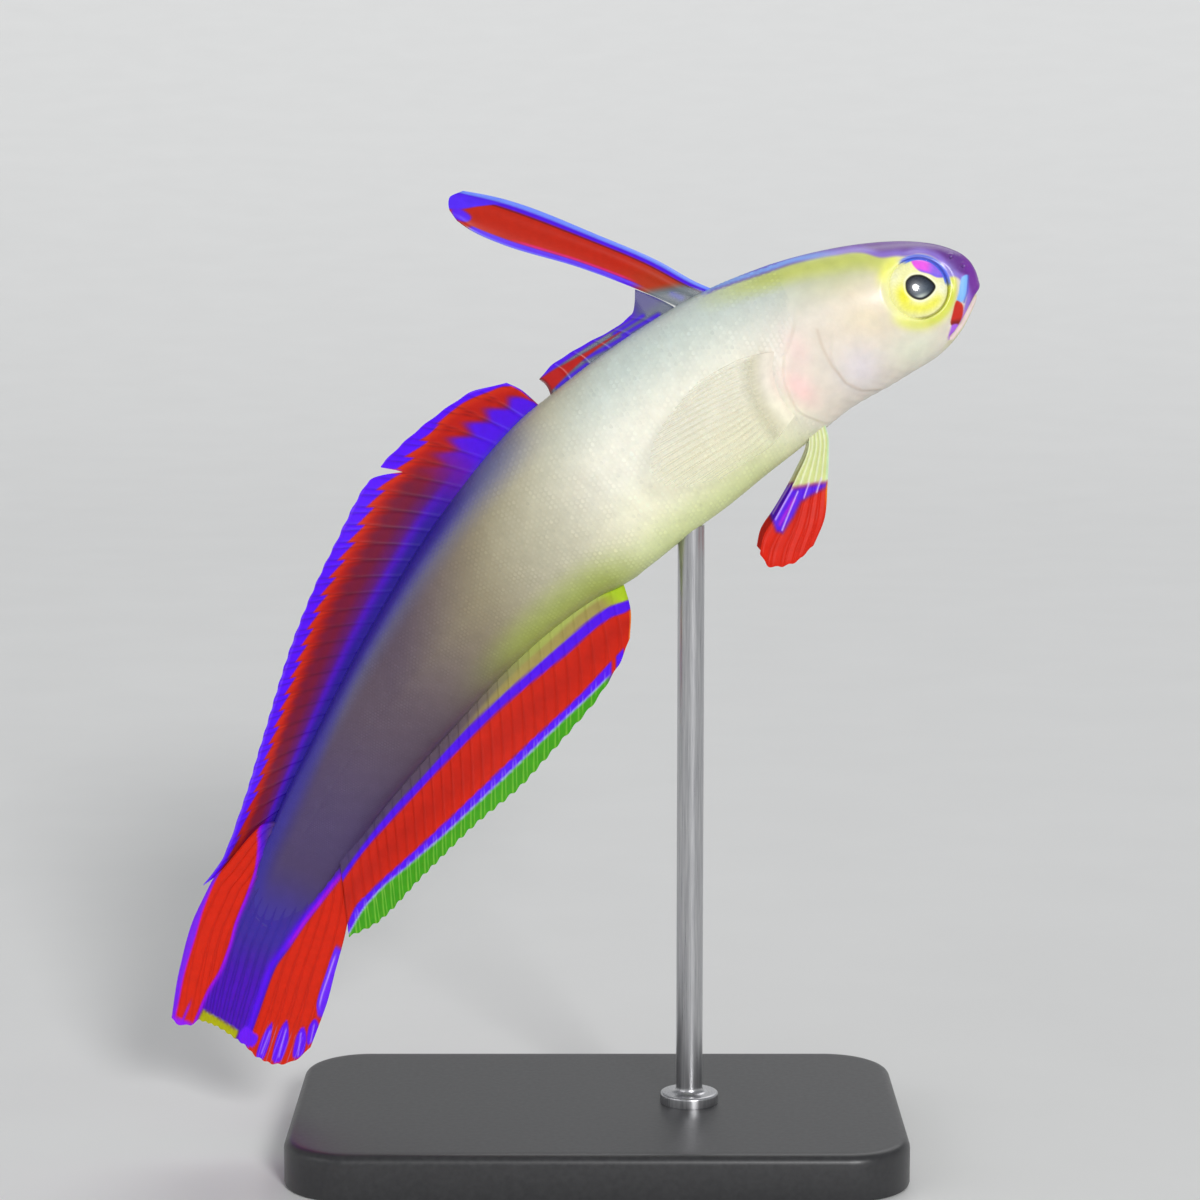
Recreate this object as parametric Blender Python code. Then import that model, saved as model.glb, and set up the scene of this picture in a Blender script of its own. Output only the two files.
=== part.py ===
"""Purple firefish, life size, as a still model on a plain display stand.

The fish lies in the XZ plane, head towards +X, and its right side faces -Y.
The origin is on the floor, under the middle of the whole model.
Shapes are set out in millimetres along the fish and then bent along its axis:
s runs from the snout to the tail, h up towards the back, y to the fish's left.
"""
import math

import bmesh
import bpy
import numpy as np
from mathutils import Vector

MM = 0.001
SEAM_GAP = 0.3
WELD = 0.01

# Axis of the body: where the snout is, and how steeply the axis falls at each distance from it
SNOUT_X = 30.0
SNOUT_Z = 65.4
AXIS_S = (0.0, 10.0, 20.0, 30.0, 40.0, 50.0, 60.0, 70.0, 84.0)
AXIS_FALL = (14.0, 21.0, 30.5, 39.0, 46.5, 52.5, 57.5, 62.5, 66.0)

# Body: back, belly, half width and height of the widest line at distances from the snout
BACK = ((-0.2, 0.5), (-0.12, 1.15), (0.35, 2.28), (1.2, 3.1), (2.5, 3.9), (5.0, 4.85), (9.0, 5.78),
        (14.0, 6.5), (20.0, 6.9), (32.0, 6.85), (41.0, 5.98), (51.0, 4.58), (60.0, 3.42), (67.5, 2.8))
BELLY = ((-0.2, 0.5), (-0.12, 0.05), (0.3, -0.82), (0.95, -1.78), (1.8, -2.78), (3.4, -3.9),
         (5.0, -4.55), (9.0, -5.3), (12.0, -5.7), (15.0, -6.4), (20.0, -7.2), (26.0, -7.75),
         (32.0, -7.72), (35.5, -7.4), (38.0, -6.65), (45.5, -5.5), (54.5, -4.68), (63.0, -3.68),
         (67.5, -3.35))
HALF_WIDTH = ((-0.2, 0.0), (-0.12, 0.5), (0.3, 1.15), (1.0, 1.75), (2.5, 2.5), (4.5, 3.1), (7.0, 3.6),
              (11.0, 4.0), (16.0, 4.2), (24.0, 4.1), (32.0, 3.8), (40.0, 3.15), (50.0, 2.35),
              (60.0, 1.65), (67.5, 1.15))
WIDEST = ((-0.2, 0.5), (3.0, 0.2), (10.0, -0.3), (30.0, -0.4), (67.5, -0.2))
ROUNDNESS = 0.92
AROUND = 44

# Low fold of skin along the middle of the crown and nape
CREST_HEIGHT = ((2.0, 0.0), (6.0, 0.22), (14.0, 0.28), (17.6, 0.0))
CREST_ANGLE = 6.0

# Rear edges of the cheek and the gill cover by angle from the back, and how far they stand out
GILL_EDGE = ((0.0, 12.4), (60.0, 13.0), (78.0, 14.1), (88.0, 15.3), (100.0, 16.0), (117.0, 16.1),
             (142.0, 15.0), (180.0, 13.2))
CHEEK_EDGE = ((0.0, 9.4), (60.0, 10.0), (85.0, 11.3), (101.0, 12.1), (121.0, 11.9), (139.0, 11.1),
              (153.0, 10.0), (180.0, 8.4))
GILL_RELIEF = 0.14
CHEEK_RELIEF = 0.1
SNOUT_ROWS = (-0.12, 0.08, 0.42, 0.95, 1.6, 2.4, 3.4, 4.6, 6.0, 7.4)
HEAD_REAR = 13.6
TRUNK_GAP = SEAM_GAP + 0.02
TAIL_STALK_START = 60.0
TAIL_STALK_END = 67.2

# Eyes
EYE_S = 4.4
EYE_H = 1.15
EYE_RADIUS = 2.3
EYE_HALF_DEPTH = 1.15
EYE_SINK = 0.45
EYE_INSET = 0.35
EYE_TURN_FORWARD = 15.0
EYE_TURN_UP = 10.0
LID_RADIUS = 2.6
LID_THICKNESS = 0.24

# Mouth: the line between the lips from the snout to the corner, then the jaw's rear edge
MOUTH_LINE = ((-0.1, -0.33), (0.5, -0.75), (1.25, -1.55), (2.0, -2.32), (3.0, -3.05))
JAW_REAR = ((3.45, -3.4), (3.95, -4.1), (4.6, -5.8))
LIP_THICKNESS = 0.25
LIP_SINK = 0.1
LIP_START = 0.08
MAXILLA_LINE = ((0.75, 1.1), (1.05, 0.15), (1.5, -0.85), (2.1, -1.8), (2.75, -2.55))
MAXILLA_THICKNESS = 0.24
NOSTRILS = ((0.8, 1.75), (1.5, 2.6))
NOSTRIL_RADIUS = 0.2
NOSTRIL_RIM = 0.1
NOSTRIL_RISE = 0.04

# Fins: half the membrane's thickness, and how far each ray stands out on both sides
FIN_HALF_THICKNESS = 0.25
RAY_RIDGE = 0.22

# Paired fins: how far each millimetre of their length leads outwards
PECTORAL_SPREAD = 0.25
PECTORAL_TWIST = 0.09
PECTORAL_BASE_HALF = 0.4
PELVIC_OFF_MIDDLE = 1.2
PELVIC_SPREAD = 0.13
PELVIC_CUP = 0.025
PELVIC_BASE_HALF = 0.42

# Stand
BASE_LENGTH = 46.0
BASE_DEPTH = 28.0
BASE_HEIGHT = 3.5
BASE_CENTRE_X = 2.0
BASE_CORNER = 5.0
BASE_CHAMFER = 0.6
ROD_X = 9.0
ROD_RADIUS = 1.0
ROD_FOOT_RADIUS = 2.2
ROD_FOOT_HEIGHT = 0.8
ROD_FOOT_FILLET = 0.4

HEAD_COLOUR = (0.86, 0.82, 0.66)
JAW_COLOUR = (0.82, 0.80, 0.70)
TRUNK_COLOUR = (0.72, 0.66, 0.50)
STALK_COLOUR = (0.06, 0.03, 0.16)
EYE_COLOUR = (0.01, 0.01, 0.015)
LANCE_COLOUR = (0.28, 0.12, 0.55)
RED_FIN_COLOUR = (0.62, 0.05, 0.02)
TAIL_FIN_COLOUR = (0.22, 0.02, 0.45)
CLEAR_FIN_COLOUR = (0.80, 0.74, 0.55)
PELVIC_COLOUR = (0.60, 0.10, 0.06)
BASE_COLOUR = (0.03, 0.03, 0.032)
ROD_COLOUR = (0.55, 0.55, 0.56)


def ease(stations, at):
    """Value at each place between stations, on a smooth line that doesn't overshoot them."""
    at = np.asarray(at, float)
    x, y = np.array(stations, float).T
    step = np.diff(x)
    rise = np.diff(y) / step
    slope = np.concatenate(([rise[0]], np.zeros(len(x) - 2), [rise[-1]]))
    for i in range(1, len(x) - 1):
        if rise[i - 1] * rise[i] > 0:
            w1 = 2 * step[i] + step[i - 1]
            w2 = step[i] + 2 * step[i - 1]
            slope[i] = (w1 + w2) / (w1 / rise[i - 1] + w2 / rise[i])
    i = np.clip(np.searchsorted(x, at, side="right") - 1, 0, len(x) - 2)
    t = np.clip((at - x[i]) / step[i], 0.0, 1.0)
    start = (1 + 2 * t) * (1 - t) ** 2 * y[i] + t * (1 - t) ** 2 * step[i] * slope[i]
    end = t * t * (3 - 2 * t) * y[i + 1] - t * t * (1 - t) * step[i] * slope[i + 1]
    return start + end


def axis_table():
    """Fine table of the body axis: distance, X, Z and fall."""
    s = np.arange(-8.0, 92.0, 0.05)
    fall = np.radians(np.interp(s, AXIS_S, AXIS_FALL))
    middle = (fall[1:] + fall[:-1]) / 2
    x = np.concatenate(([0.0], np.cumsum(-np.cos(middle) * 0.05)))
    z = np.concatenate(([0.0], np.cumsum(-np.sin(middle) * 0.05)))
    x += SNOUT_X - np.interp(0.0, s, x)
    z += SNOUT_Z - np.interp(0.0, s, z)
    return s, x, z, fall


AXIS = axis_table()


def place(points):
    """World positions in metres of points given as s, h, y in millimetres."""
    points = np.asarray(points, float)
    s, h, y = points[..., 0], points[..., 1], points[..., 2]
    fall = np.interp(s, AXIS[0], AXIS[3])
    x = np.interp(s, AXIS[0], AXIS[1]) - np.sin(fall) * h
    z = np.interp(s, AXIS[0], AXIS[2]) + np.cos(fall) * h
    return np.stack((x, y, z), -1) * MM


def body_ring(s, angle):
    """Points of the body's surface at distances s and angles from the back, in degrees."""
    turn = np.radians(angle)
    middle = ease(WIDEST, s)
    up = ease(BACK, s) - middle
    down = middle - ease(BELLY, s)
    cos = np.cos(turn)
    off_crest = 1 - np.exp(-((180 - np.abs(180 - angle)) / CREST_ANGLE) ** 2)
    up = up - ease(CREST_HEIGHT, s) * off_crest
    reach = np.where(cos > 0, up, down) * np.sign(cos) * np.abs(cos) ** ROUNDNESS
    y = ease(HALF_WIDTH, s) * np.sign(np.sin(turn)) * np.abs(np.sin(turn)) ** ROUNDNESS
    return np.stack((s + 0 * reach, middle + reach, y), -1)


def flank(s, h):
    """Half width of the body at distance s and height h."""
    middle = ease(WIDEST, s)
    reach = np.where(h > middle, ease(BACK, s) - middle, middle - ease(BELLY, s))
    cos = np.clip(np.abs(h - middle) / reach, 0.0, 0.999) ** (1 / ROUNDNESS)
    return ease(HALF_WIDTH, s) * np.sqrt(1 - cos ** 2) ** ROUNDNESS


def underside(s, y):
    """Height of the belly at distance s and at y off the middle."""
    sin = np.clip(np.abs(y) / ease(HALF_WIDTH, s), 0.0, 0.999) ** (1 / ROUNDNESS)
    middle = ease(WIDEST, s)
    return middle - (middle - ease(BELLY, s)) * np.sqrt(1 - sin ** 2) ** ROUNDNESS


def material(name, colour, roughness, metallic):
    """Material with a Principled BSDF of one colour."""
    made = bpy.data.materials.new(name)
    made.use_nodes = True
    shader = made.node_tree.nodes["Principled BSDF"]
    shader.inputs["Base Color"].default_value = (*colour, 1.0)
    shader.inputs["Roughness"].default_value = roughness
    shader.inputs["Metallic"].default_value = metallic
    made.diffuse_color = (*colour, 1.0)
    return made


def piece(name, points, faces, colour=HEAD_COLOUR, roughness=0.4, metallic=0.0, sharp=40.0):
    """Object of a closed mesh, its origin at the middle of its points, with its faces pointing out."""
    points = np.asarray(points).reshape(-1, 3)
    centre = Vector((points.min(0) + points.max(0)) / 2)
    mesh = bpy.data.meshes.new(name)
    mesh.from_pydata([Vector(p) - centre for p in points], [], faces)
    form = bmesh.new()
    form.from_mesh(mesh)
    bmesh.ops.recalc_face_normals(form, faces=form.faces)
    form.to_mesh(mesh)
    form.free()
    mesh.shade_smooth()
    mesh.set_sharp_from_angle(angle=math.radians(sharp))
    mesh.materials.append(material(name, colour, roughness, metallic))
    made = bpy.data.objects.new(name, mesh)
    made.location = centre
    bpy.context.scene.collection.objects.link(made)
    return made


def loft_faces(rows, columns, closed_rows=False):
    """Faces of a tube of rows of so many points each, its ends closed by two more points."""
    faces = []
    for row in range(rows if closed_rows else rows - 1):
        here = row * columns
        there = (row + 1) % rows * columns
        for column in range(columns):
            right = (column + 1) % columns
            faces.append((here + column, here + right, there + right, there + column))
    if not closed_rows:
        last = (rows - 1) * columns
        for column in range(columns):
            right = (column + 1) % columns
            faces.append((rows * columns, right, column))
            faces.append((rows * columns + 1, last + column, last + right))
    return faces


def body_length(name, rows, front, rear, colour, roughness):
    """A closed length of the body from rows of surface points in s, h, y and its two end points."""
    rows = np.asarray(rows)
    points = np.concatenate((rows.reshape(-1, 3), [front, rear]))
    return piece(name, place(points), loft_faces(len(rows), rows.shape[1]), colour, roughness)


def tube(name, path, radius, sides, closed=False, beside=(0.0, 1.0, 0.0)):
    """A round tube along a path in s, h, y that never runs along beside; radius may differ by point."""
    path = place(path) / MM
    along = np.gradient(path, axis=0)
    if closed:
        along = np.roll(path, -1, 0) - np.roll(path, 1, 0)
    along /= np.linalg.norm(along, axis=1)[:, None]
    side = np.cross(along, beside)
    side /= np.linalg.norm(side, axis=1)[:, None]
    up = np.cross(side, along)
    turn = np.linspace(0, 2 * math.pi, sides, endpoint=False)[None, :, None]
    radius = np.broadcast_to(radius, len(path))[:, None, None]
    rings = path[:, None] + radius * (np.cos(turn) * side[:, None] + np.sin(turn) * up[:, None])
    points = rings.reshape(-1, 3)
    if not closed:
        points = np.concatenate((points, path[:1], path[-1:]))
    return piece(name, points * MM, loft_faces(len(path), sides, closed))


def prism(name, outline, half_depth):
    """A block of the outline in s, h that runs through the fish from side to side."""
    count = len(outline)
    points = [(s, h, y) for y in (-half_depth, half_depth) for s, h in outline]
    faces = [(i, (i + 1) % count, (i + 1) % count + count, i + count) for i in range(count)]
    faces.append(tuple(range(count)))
    faces.append(tuple(range(count, 2 * count)))
    return piece(name, place(points), faces)


def boolean(target, operation, tools):
    """Joins, cuts or keeps the target by closed tool objects, which are then removed."""
    group = bpy.data.collections.new("tools")
    bpy.context.scene.collection.children.link(group)
    for tool in tools:
        bpy.context.scene.collection.objects.unlink(tool)
        group.objects.link(tool)
    modifier = target.modifiers.new("Boolean", "BOOLEAN")
    modifier.operation = operation
    modifier.solver = "EXACT"
    modifier.operand_type = "COLLECTION"
    modifier.collection = group
    bpy.context.view_layer.update()
    graph = bpy.context.evaluated_depsgraph_get()
    result = bpy.data.meshes.new_from_object(target.evaluated_get(graph), depsgraph=graph)
    target.modifiers.clear()
    target.data = result
    for tool in tools:
        bpy.data.objects.remove(tool)
    bpy.data.collections.remove(group)
    keep_largest(target)


def keep_largest(target):
    """Keeps the largest closed surface of the target's mesh, with one material."""
    form = bmesh.new()
    form.from_mesh(target.data)
    bmesh.ops.remove_doubles(form, verts=form.verts, dist=WELD * MM)
    bmesh.ops.dissolve_degenerate(form, edges=form.edges, dist=WELD * MM)
    bmesh.ops.triangulate(form, faces=form.faces)
    left = set(form.faces)
    parts = []
    while left:
        part = []
        open_faces = [left.pop()]
        while open_faces:
            face = open_faces.pop()
            part.append(face)
            for edge in face.edges:
                for other in edge.link_faces:
                    if other in left:
                        left.remove(other)
                        open_faces.append(other)
        parts.append(part)
    parts.sort(key=lambda part: sum(face.calc_area() for face in part))
    small = [face for part in parts[:-1] for face in part]
    bmesh.ops.delete(form, geom=small, context="FACES")
    for face in form.faces:
        face.material_index = 0
    form.to_mesh(target.data)
    form.free()
    while len(target.data.materials) > 1:
        target.data.materials.pop()
    target.data.shade_smooth()
    target.data.set_sharp_from_angle(angle=math.radians(40))


def shares(line):
    """Share of the length of a line of points at each of them."""
    line = np.array(line, float)
    length = np.concatenate(([0.0], np.cumsum(np.linalg.norm(np.diff(line, axis=0), axis=1))))
    return length / length[-1]


def along_line(line, t, knots=None):
    """Points at shares t of a smooth line through the given points."""
    line = np.array(line, float)
    knots = shares(line) if knots is None else knots
    return np.stack([ease(np.stack((knots, line[:, i]), -1), t) for i in range(2)], -1)


def fin_sheet(root, margin, front, rear, across, out):
    """Middle of a fin in s, h, stretched between its root, margin, front and rear edges."""
    c = across[:, None, None]
    t = out[None, :, None]
    root_line = along_line(root, across)[:, None]
    knots = np.array([p[0] for p in margin])
    margin_line = along_line([p[1:] for p in margin], across, knots)[:, None]
    front_line = along_line(front, out)[None]
    rear_line = along_line(rear, out)[None]
    corners = (1 - c) * ((1 - t) * front_line[:, :1] + t * front_line[:, -1:])
    corners = corners + c * ((1 - t) * rear_line[:, :1] + t * rear_line[:, -1:])
    return (1 - t) * root_line + t * margin_line + (1 - c) * front_line + c * rear_line - corners


def fin_solid(name, middle, half, colour, base=None):
    """A fin from its middle sheet in world millimetres and half its thickness, both split alike."""
    across, out = half.shape
    normal = np.cross(np.gradient(middle, axis=0), np.gradient(middle, axis=1))
    normal /= np.linalg.norm(normal, axis=2)[..., None]
    faces_of = [middle + normal * half[..., None], middle - normal * half[..., None]]
    if base is not None:
        faces_of[0][:, 0] = base[0]
        faces_of[1][:, 0] = base[1]
    points = np.concatenate([side.reshape(-1, 3) for side in faces_of])
    count = across * out
    faces = []
    for i in range(across - 1):
        for j in range(out - 1):
            a, b, c, d = i * out + j, (i + 1) * out + j, (i + 1) * out + j + 1, i * out + j + 1
            faces += [(a, b, c), (a, c, d)]
            faces += [(count + a, count + c, count + b), (count + a, count + d, count + c)]
    rim = [i * out for i in range(across)]
    rim += [(across - 1) * out + j for j in range(1, out)]
    rim += [i * out + out - 1 for i in range(across - 2, -1, -1)]
    rim += [j for j in range(out - 2, 0, -1)]
    for here, there in zip(rim, rim[1:] + rim[:1]):
        faces += [(here, count + here, count + there), (here, count + there, there)]
    return piece(name, points * MM, faces, colour, 0.45, 0.0, 25.0)


def ray_thickness(across, out, rays, root_extra):
    """Half thickness of a fin: the web, a ridge on each ray, thicker at the root and thin at the tips."""
    c = across[:, None]
    t = out[None, :]
    crest = 0.5 + 0.5 * np.cos(2 * math.pi * c * (rays - 1))
    ridge = RAY_RIDGE * crest * (1 - 0.2 * t)
    return (FIN_HALF_THICKNESS + ridge + root_extra * (1 - t) ** 4) * (1 - 0.25 * t ** 3)


def middle_fin(name, edges, rays, rows, colour, wave=0.0, waves=2.0, root_extra=0.12, notch=0.1):
    """A fin on the middle line that waves a little towards its margin and is notched between its rays."""
    root, margin, front, rear = edges
    across = np.linspace(0, 1, 2 * rays - 1)
    out = np.linspace(0, 1, rows)
    flat = fin_sheet(root, margin, front, rear, across, out)
    flat[1::2, -1] += notch * (flat[1::2, -2] - flat[1::2, -1])
    sway = wave * np.sin(2 * math.pi * waves * across[:, None]) * out[None, :] ** 1.5
    middle = place(np.concatenate((flat, sway[..., None]), -1)) / MM
    half = ray_thickness(across, out, rays, root_extra)
    return fin_solid(name, middle, half, colour)


def back_line(start, end, count=9):
    """Points just above the back from start to end."""
    return [(s, ease(BACK, s) + SEAM_GAP) for s in np.linspace(start, end, count)]


def belly_line(start, end, count=9):
    """Points just below the belly from start to end."""
    return [(s, ease(BELLY, s) - SEAM_GAP) for s in np.linspace(start, end, count)]


def head_rows():
    """Rows of the head: round the snout, then on to the cheek's edge and the gill cover's."""
    angle = np.arange(AROUND) * 360.0 / AROUND
    folded = 180 - np.abs(180 - angle)
    rows = [body_ring(np.full(AROUND, s), angle) for s in SNOUT_ROWS]
    cheek = ease(CHEEK_EDGE, folded)
    gill = ease(GILL_EDGE, folded)
    swell = np.clip(np.sin(np.radians(folded)), 0, 1)
    steps = [(0.4 * SNOUT_ROWS[-1] + 0.6 * cheek, 0.0)]
    steps += [(cheek - 0.25, CHEEK_RELIEF), (cheek + 0.2, -0.3 * CHEEK_RELIEF)]
    steps += [(0.5 * cheek + 0.5 * gill, 0.0)]
    steps += [(0.1 * cheek + 0.9 * gill, GILL_RELIEF), (gill, GILL_RELIEF)]
    for s, rise in steps:
        ring = body_ring(s, angle)
        middle = np.stack((s, ease(WIDEST, s), 0 * s), -1)
        outward = (ring - middle) / np.linalg.norm(ring - middle, axis=1)[:, None]
        rows.append(ring + outward * (rise * swell)[:, None])
    return rows


def trunk_rows():
    """Rows of the trunk from behind the gill cover to the tail stalk."""
    angle = np.arange(AROUND) * 360.0 / AROUND
    folded = 180 - np.abs(180 - angle)
    gill = ease(GILL_EDGE, folded) + TRUNK_GAP
    stops = np.concatenate((np.linspace(0, 0.12, 3), np.linspace(0.18, 1, 18)))
    return [body_ring(gill + (TAIL_STALK_START - gill) * share, angle) for share in stops]


def eye_axes(side):
    """Eye's centre in world millimetres and its turn matrix; side is 1 for left and -1 for right."""
    level = flank(EYE_S, EYE_H)
    forward = math.radians(EYE_TURN_FORWARD)
    upward = math.radians(EYE_TURN_UP)
    head_fall = math.radians(np.interp(EYE_S, AXIS_S, AXIS_FALL))
    towards = np.array((math.sin(forward), side * math.cos(forward) * math.cos(upward), math.sin(upward)))
    x, y, z = towards
    towards = np.array((x * math.cos(head_fall) - z * math.sin(head_fall), y,
                        x * math.sin(head_fall) + z * math.cos(head_fall)))
    towards /= np.linalg.norm(towards)
    rim = place((EYE_S, EYE_H, side * (level - EYE_INSET))) / MM
    return rim - towards * EYE_SINK, towards


def eyeball(name, side, grow=0.0, segments=24):
    """A flattened ball of the eye, or of its socket when it is grown."""
    centre, towards = eye_axes(side)
    form = bmesh.new()
    bmesh.ops.create_uvsphere(form, u_segments=segments, v_segments=segments // 2, radius=1.0)
    turn = Vector((0, 0, 1)).rotation_difference(Vector(towards)).to_matrix()
    reach = Vector((EYE_RADIUS + grow, EYE_RADIUS + grow, EYE_HALF_DEPTH + grow))
    points = [(Vector(centre) + turn @ (v.co * reach)) * MM for v in form.verts]
    faces = [tuple(v.index for v in face.verts) for face in form.faces]
    form.free()
    return piece(name, np.array(points), faces, EYE_COLOUR, 0.12)


def lid(name, side):
    """The raised rim of skin round the eye."""
    turn = np.linspace(0, 2 * math.pi, 28, endpoint=False)
    s = EYE_S + LID_RADIUS * np.cos(turn)
    h = EYE_H + LID_RADIUS * np.sin(turn)
    return tube(name, np.stack((s, h, side * flank(s, h)), -1), LID_THICKNESS, 8, True)


def lips():
    """The band of both lips, from the right corner of the mouth round the snout to the left one."""
    share = LIP_START + (1 - LIP_START) * np.linspace(1, 0, 9) ** 2
    side = along_line(MOUTH_LINE, share) + (LIP_SINK, 0.3 * LIP_SINK)
    y = flank(side[:, 0], side[:, 1])
    y[-1] = 0
    right = np.stack((side[:, 0], side[:, 1], -y), -1)
    path = np.concatenate((right, right[-2::-1] * (1, 1, -1)))
    radius = LIP_THICKNESS * (0.6 + 0.4 * np.sin(np.linspace(0, math.pi, len(path))))
    return tube("lips", path, radius, 8, False, (0.3, 0.0, 1.0))


def upper_jaw_bone(side):
    """The strip of the maxilla behind the upper lip."""
    line = along_line(MAXILLA_LINE, np.linspace(0, 1, 8))
    y = side * (flank(line[:, 0], line[:, 1]) - 0.08)
    return tube("maxilla", np.stack((line[:, 0], line[:, 1], y), -1), MAXILLA_THICKNESS, 8)


def nostril(side, s, h):
    """The low round rim of a nostril."""
    turn = np.linspace(0, 2 * math.pi, 10, endpoint=False)
    ring_s = s + NOSTRIL_RADIUS * np.cos(turn)
    ring_h = h + NOSTRIL_RADIUS * np.sin(turn)
    y = side * (flank(ring_s, ring_h) + NOSTRIL_RISE)
    return tube("nostril", np.stack((ring_s, ring_h, y), -1), NOSTRIL_RIM, 6, True)


def jaw_block(name, back):
    """The space of the lower jaw, moved back by a gap on its upper and rear sides."""
    line = np.array(MOUTH_LINE + JAW_REAR)
    along = np.gradient(line, axis=0)
    out = np.stack((-along[:, 1], along[:, 0]), -1) / np.linalg.norm(along, axis=1)[:, None]
    line = line + out * back
    start = line[0] + (line[0] - line[1]) * 3
    return prism(name, [tuple(start), *map(tuple, line), (-3.0, -6.5)], 4.5)


def build_head():
    """Head with its lids, lips, nostrils and sockets, and the lower jaw."""
    rows = head_rows()
    front = (-0.2, 0.5, 0.0)
    rear = (HEAD_REAR, -0.3, 0.0)
    head = body_length("head", rows, front, rear, HEAD_COLOUR, 0.38)
    jaw = body_length("lower_jaw", rows, front, rear, JAW_COLOUR, 0.38)
    trims = [lid("lid", side) for side in (-1, 1)]
    trims += [lips()]
    trims += [upper_jaw_bone(side) for side in (-1, 1)]
    trims += [nostril(side, s, h) for side in (-1, 1) for s, h in NOSTRILS]
    boolean(head, "UNION", trims)
    boolean(head, "DIFFERENCE", [jaw_block("jaw_space", SEAM_GAP)])
    boolean(head, "DIFFERENCE", [eyeball("socket", side, SEAM_GAP) for side in (-1, 1)])
    boolean(jaw, "UNION", [lips()])
    boolean(jaw, "INTERSECT", [jaw_block("jaw_keep", 0.0)])
    eyeball("eye_right", -1)
    eyeball("eye_left", 1)


def build_trunk():
    """Trunk and tail stalk."""
    angle = np.arange(AROUND) * 360.0 / AROUND
    front = (HEAD_REAR + TRUNK_GAP, -0.3, 0.0)
    body_length("trunk", trunk_rows(), front, (TAIL_STALK_START, -0.2, 0.0), TRUNK_COLOUR, 0.38)
    start = TAIL_STALK_START + SEAM_GAP
    rows = [body_ring(np.full(AROUND, s), angle) for s in np.linspace(start, TAIL_STALK_END, 5)]
    body_length("tail_stalk", rows, (start, -0.2, 0.0), (TAIL_STALK_END, -0.2, 0.0), STALK_COLOUR, 0.38)


def build_first_dorsal():
    """First dorsal fin: the tall lance of its front spines, and the low folded part behind it."""
    root = back_line(17.8, 19.9, 3)
    front = [root[0], (19.7, 10.4), (22.0, 14.2), (25.5, 20.35), (27.05, 22.55)]
    rear = [root[-1], (21.7, 9.3), (24.05, 13.0), (27.05, 17.7), (28.0, 19.9), (28.3, 21.1)]
    margin = [(0.0, 27.05, 22.55), (0.4, 27.8, 22.8), (0.7, 28.3, 21.95), (1.0, 28.3, 21.1)]
    middle_fin("dorsal_lance", (root, margin, front, rear), 3, 20, LANCE_COLOUR, 0.25, 0.5)
    root = back_line(20.5, 30.6, 5)
    front = [root[0], (21.1, 7.95), (22.1, 9.2)]
    rear = [root[-1], (30.4, 8.25)]
    margin = [(0.0, 22.1, 9.2), (0.12, 22.5, 8.0), (0.3, 24.1, 7.95), (0.6, 27.0, 8.3), (0.85, 29.2, 8.5),
              (1.0, 30.4, 8.25)]
    middle_fin("first_dorsal_rear", (root, margin, front, rear), 7, 4, RED_FIN_COLOUR)


def build_second_dorsal():
    """Second dorsal fin, one spine and 29 rays that lean back more and more."""
    root = back_line(31.5, 65.0)
    front = [root[0], (31.75, 8.4), (32.2, 9.6)]
    rear = [root[-1], (70.0, 4.35), (73.7, 5.34)]
    margin = [(0.0, 32.2, 9.6), (0.04, 34.7, 10.95), (0.19, 42.0, 11.75), (0.35, 48.2, 10.5),
              (0.51, 54.3, 9.0), (0.75, 62.6, 6.55), (0.88, 67.2, 5.45), (0.95, 71.2, 4.95),
              (1.0, 73.7, 5.34)]
    middle_fin("second_dorsal_fin", (root, margin, front, rear), 30, 7, RED_FIN_COLOUR, 0.5)


def build_anal_fin():
    """Anal fin, one spine and 28 rays."""
    root = belly_line(35.5, 65.0)
    front = [root[0], (36.9, -9.2), (38.6, -10.6)]
    rear = [root[-1], (69.0, -4.95), (72.2, -6.25)]
    margin = [(0.0, 38.6, -10.6), (0.04, 41.0, -11.45), (0.12, 45.6, -12.05), (0.3, 53.0, -11.7),
              (0.5, 59.3, -10.25), (0.7, 65.2, -9.0), (0.88, 70.0, -7.85), (1.0, 72.2, -6.25)]
    middle_fin("anal_fin", (root, margin, front, rear), 29, 7, RED_FIN_COLOUR, 0.4, 1.5)


def build_caudal_fin():
    """Tail fin, its rays fanned between two rounded lobes."""
    start = TAIL_STALK_END + SEAM_GAP
    root = [(start, 2.6), (start, -0.2), (start, -3.15)]
    front = [root[0], (69.8, 3.6), (72.25, 4.5), (75.6, 4.85), (80.0, 4.25), (83.8, 3.26)]
    rear = [root[-1], (70.2, -4.85), (74.0, -6.1), (78.0, -7.0), (81.4, -7.25)]
    margin = [(0.0, 83.8, 3.26), (0.06, 84.15, 2.7), (0.13, 83.8, 1.85), (0.2, 82.55, 1.4),
              (0.35, 82.6, 0.1), (0.5, 83.0, -1.6), (0.68, 83.7, -3.9), (0.82, 83.6, -5.5),
              (0.92, 82.7, -6.7), (1.0, 81.4, -7.25)]
    middle_fin("caudal_fin", (root, margin, front, rear), 17, 10, TAIL_FIN_COLOUR, 0.5, 0.75, 0.45, 0.06)


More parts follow.
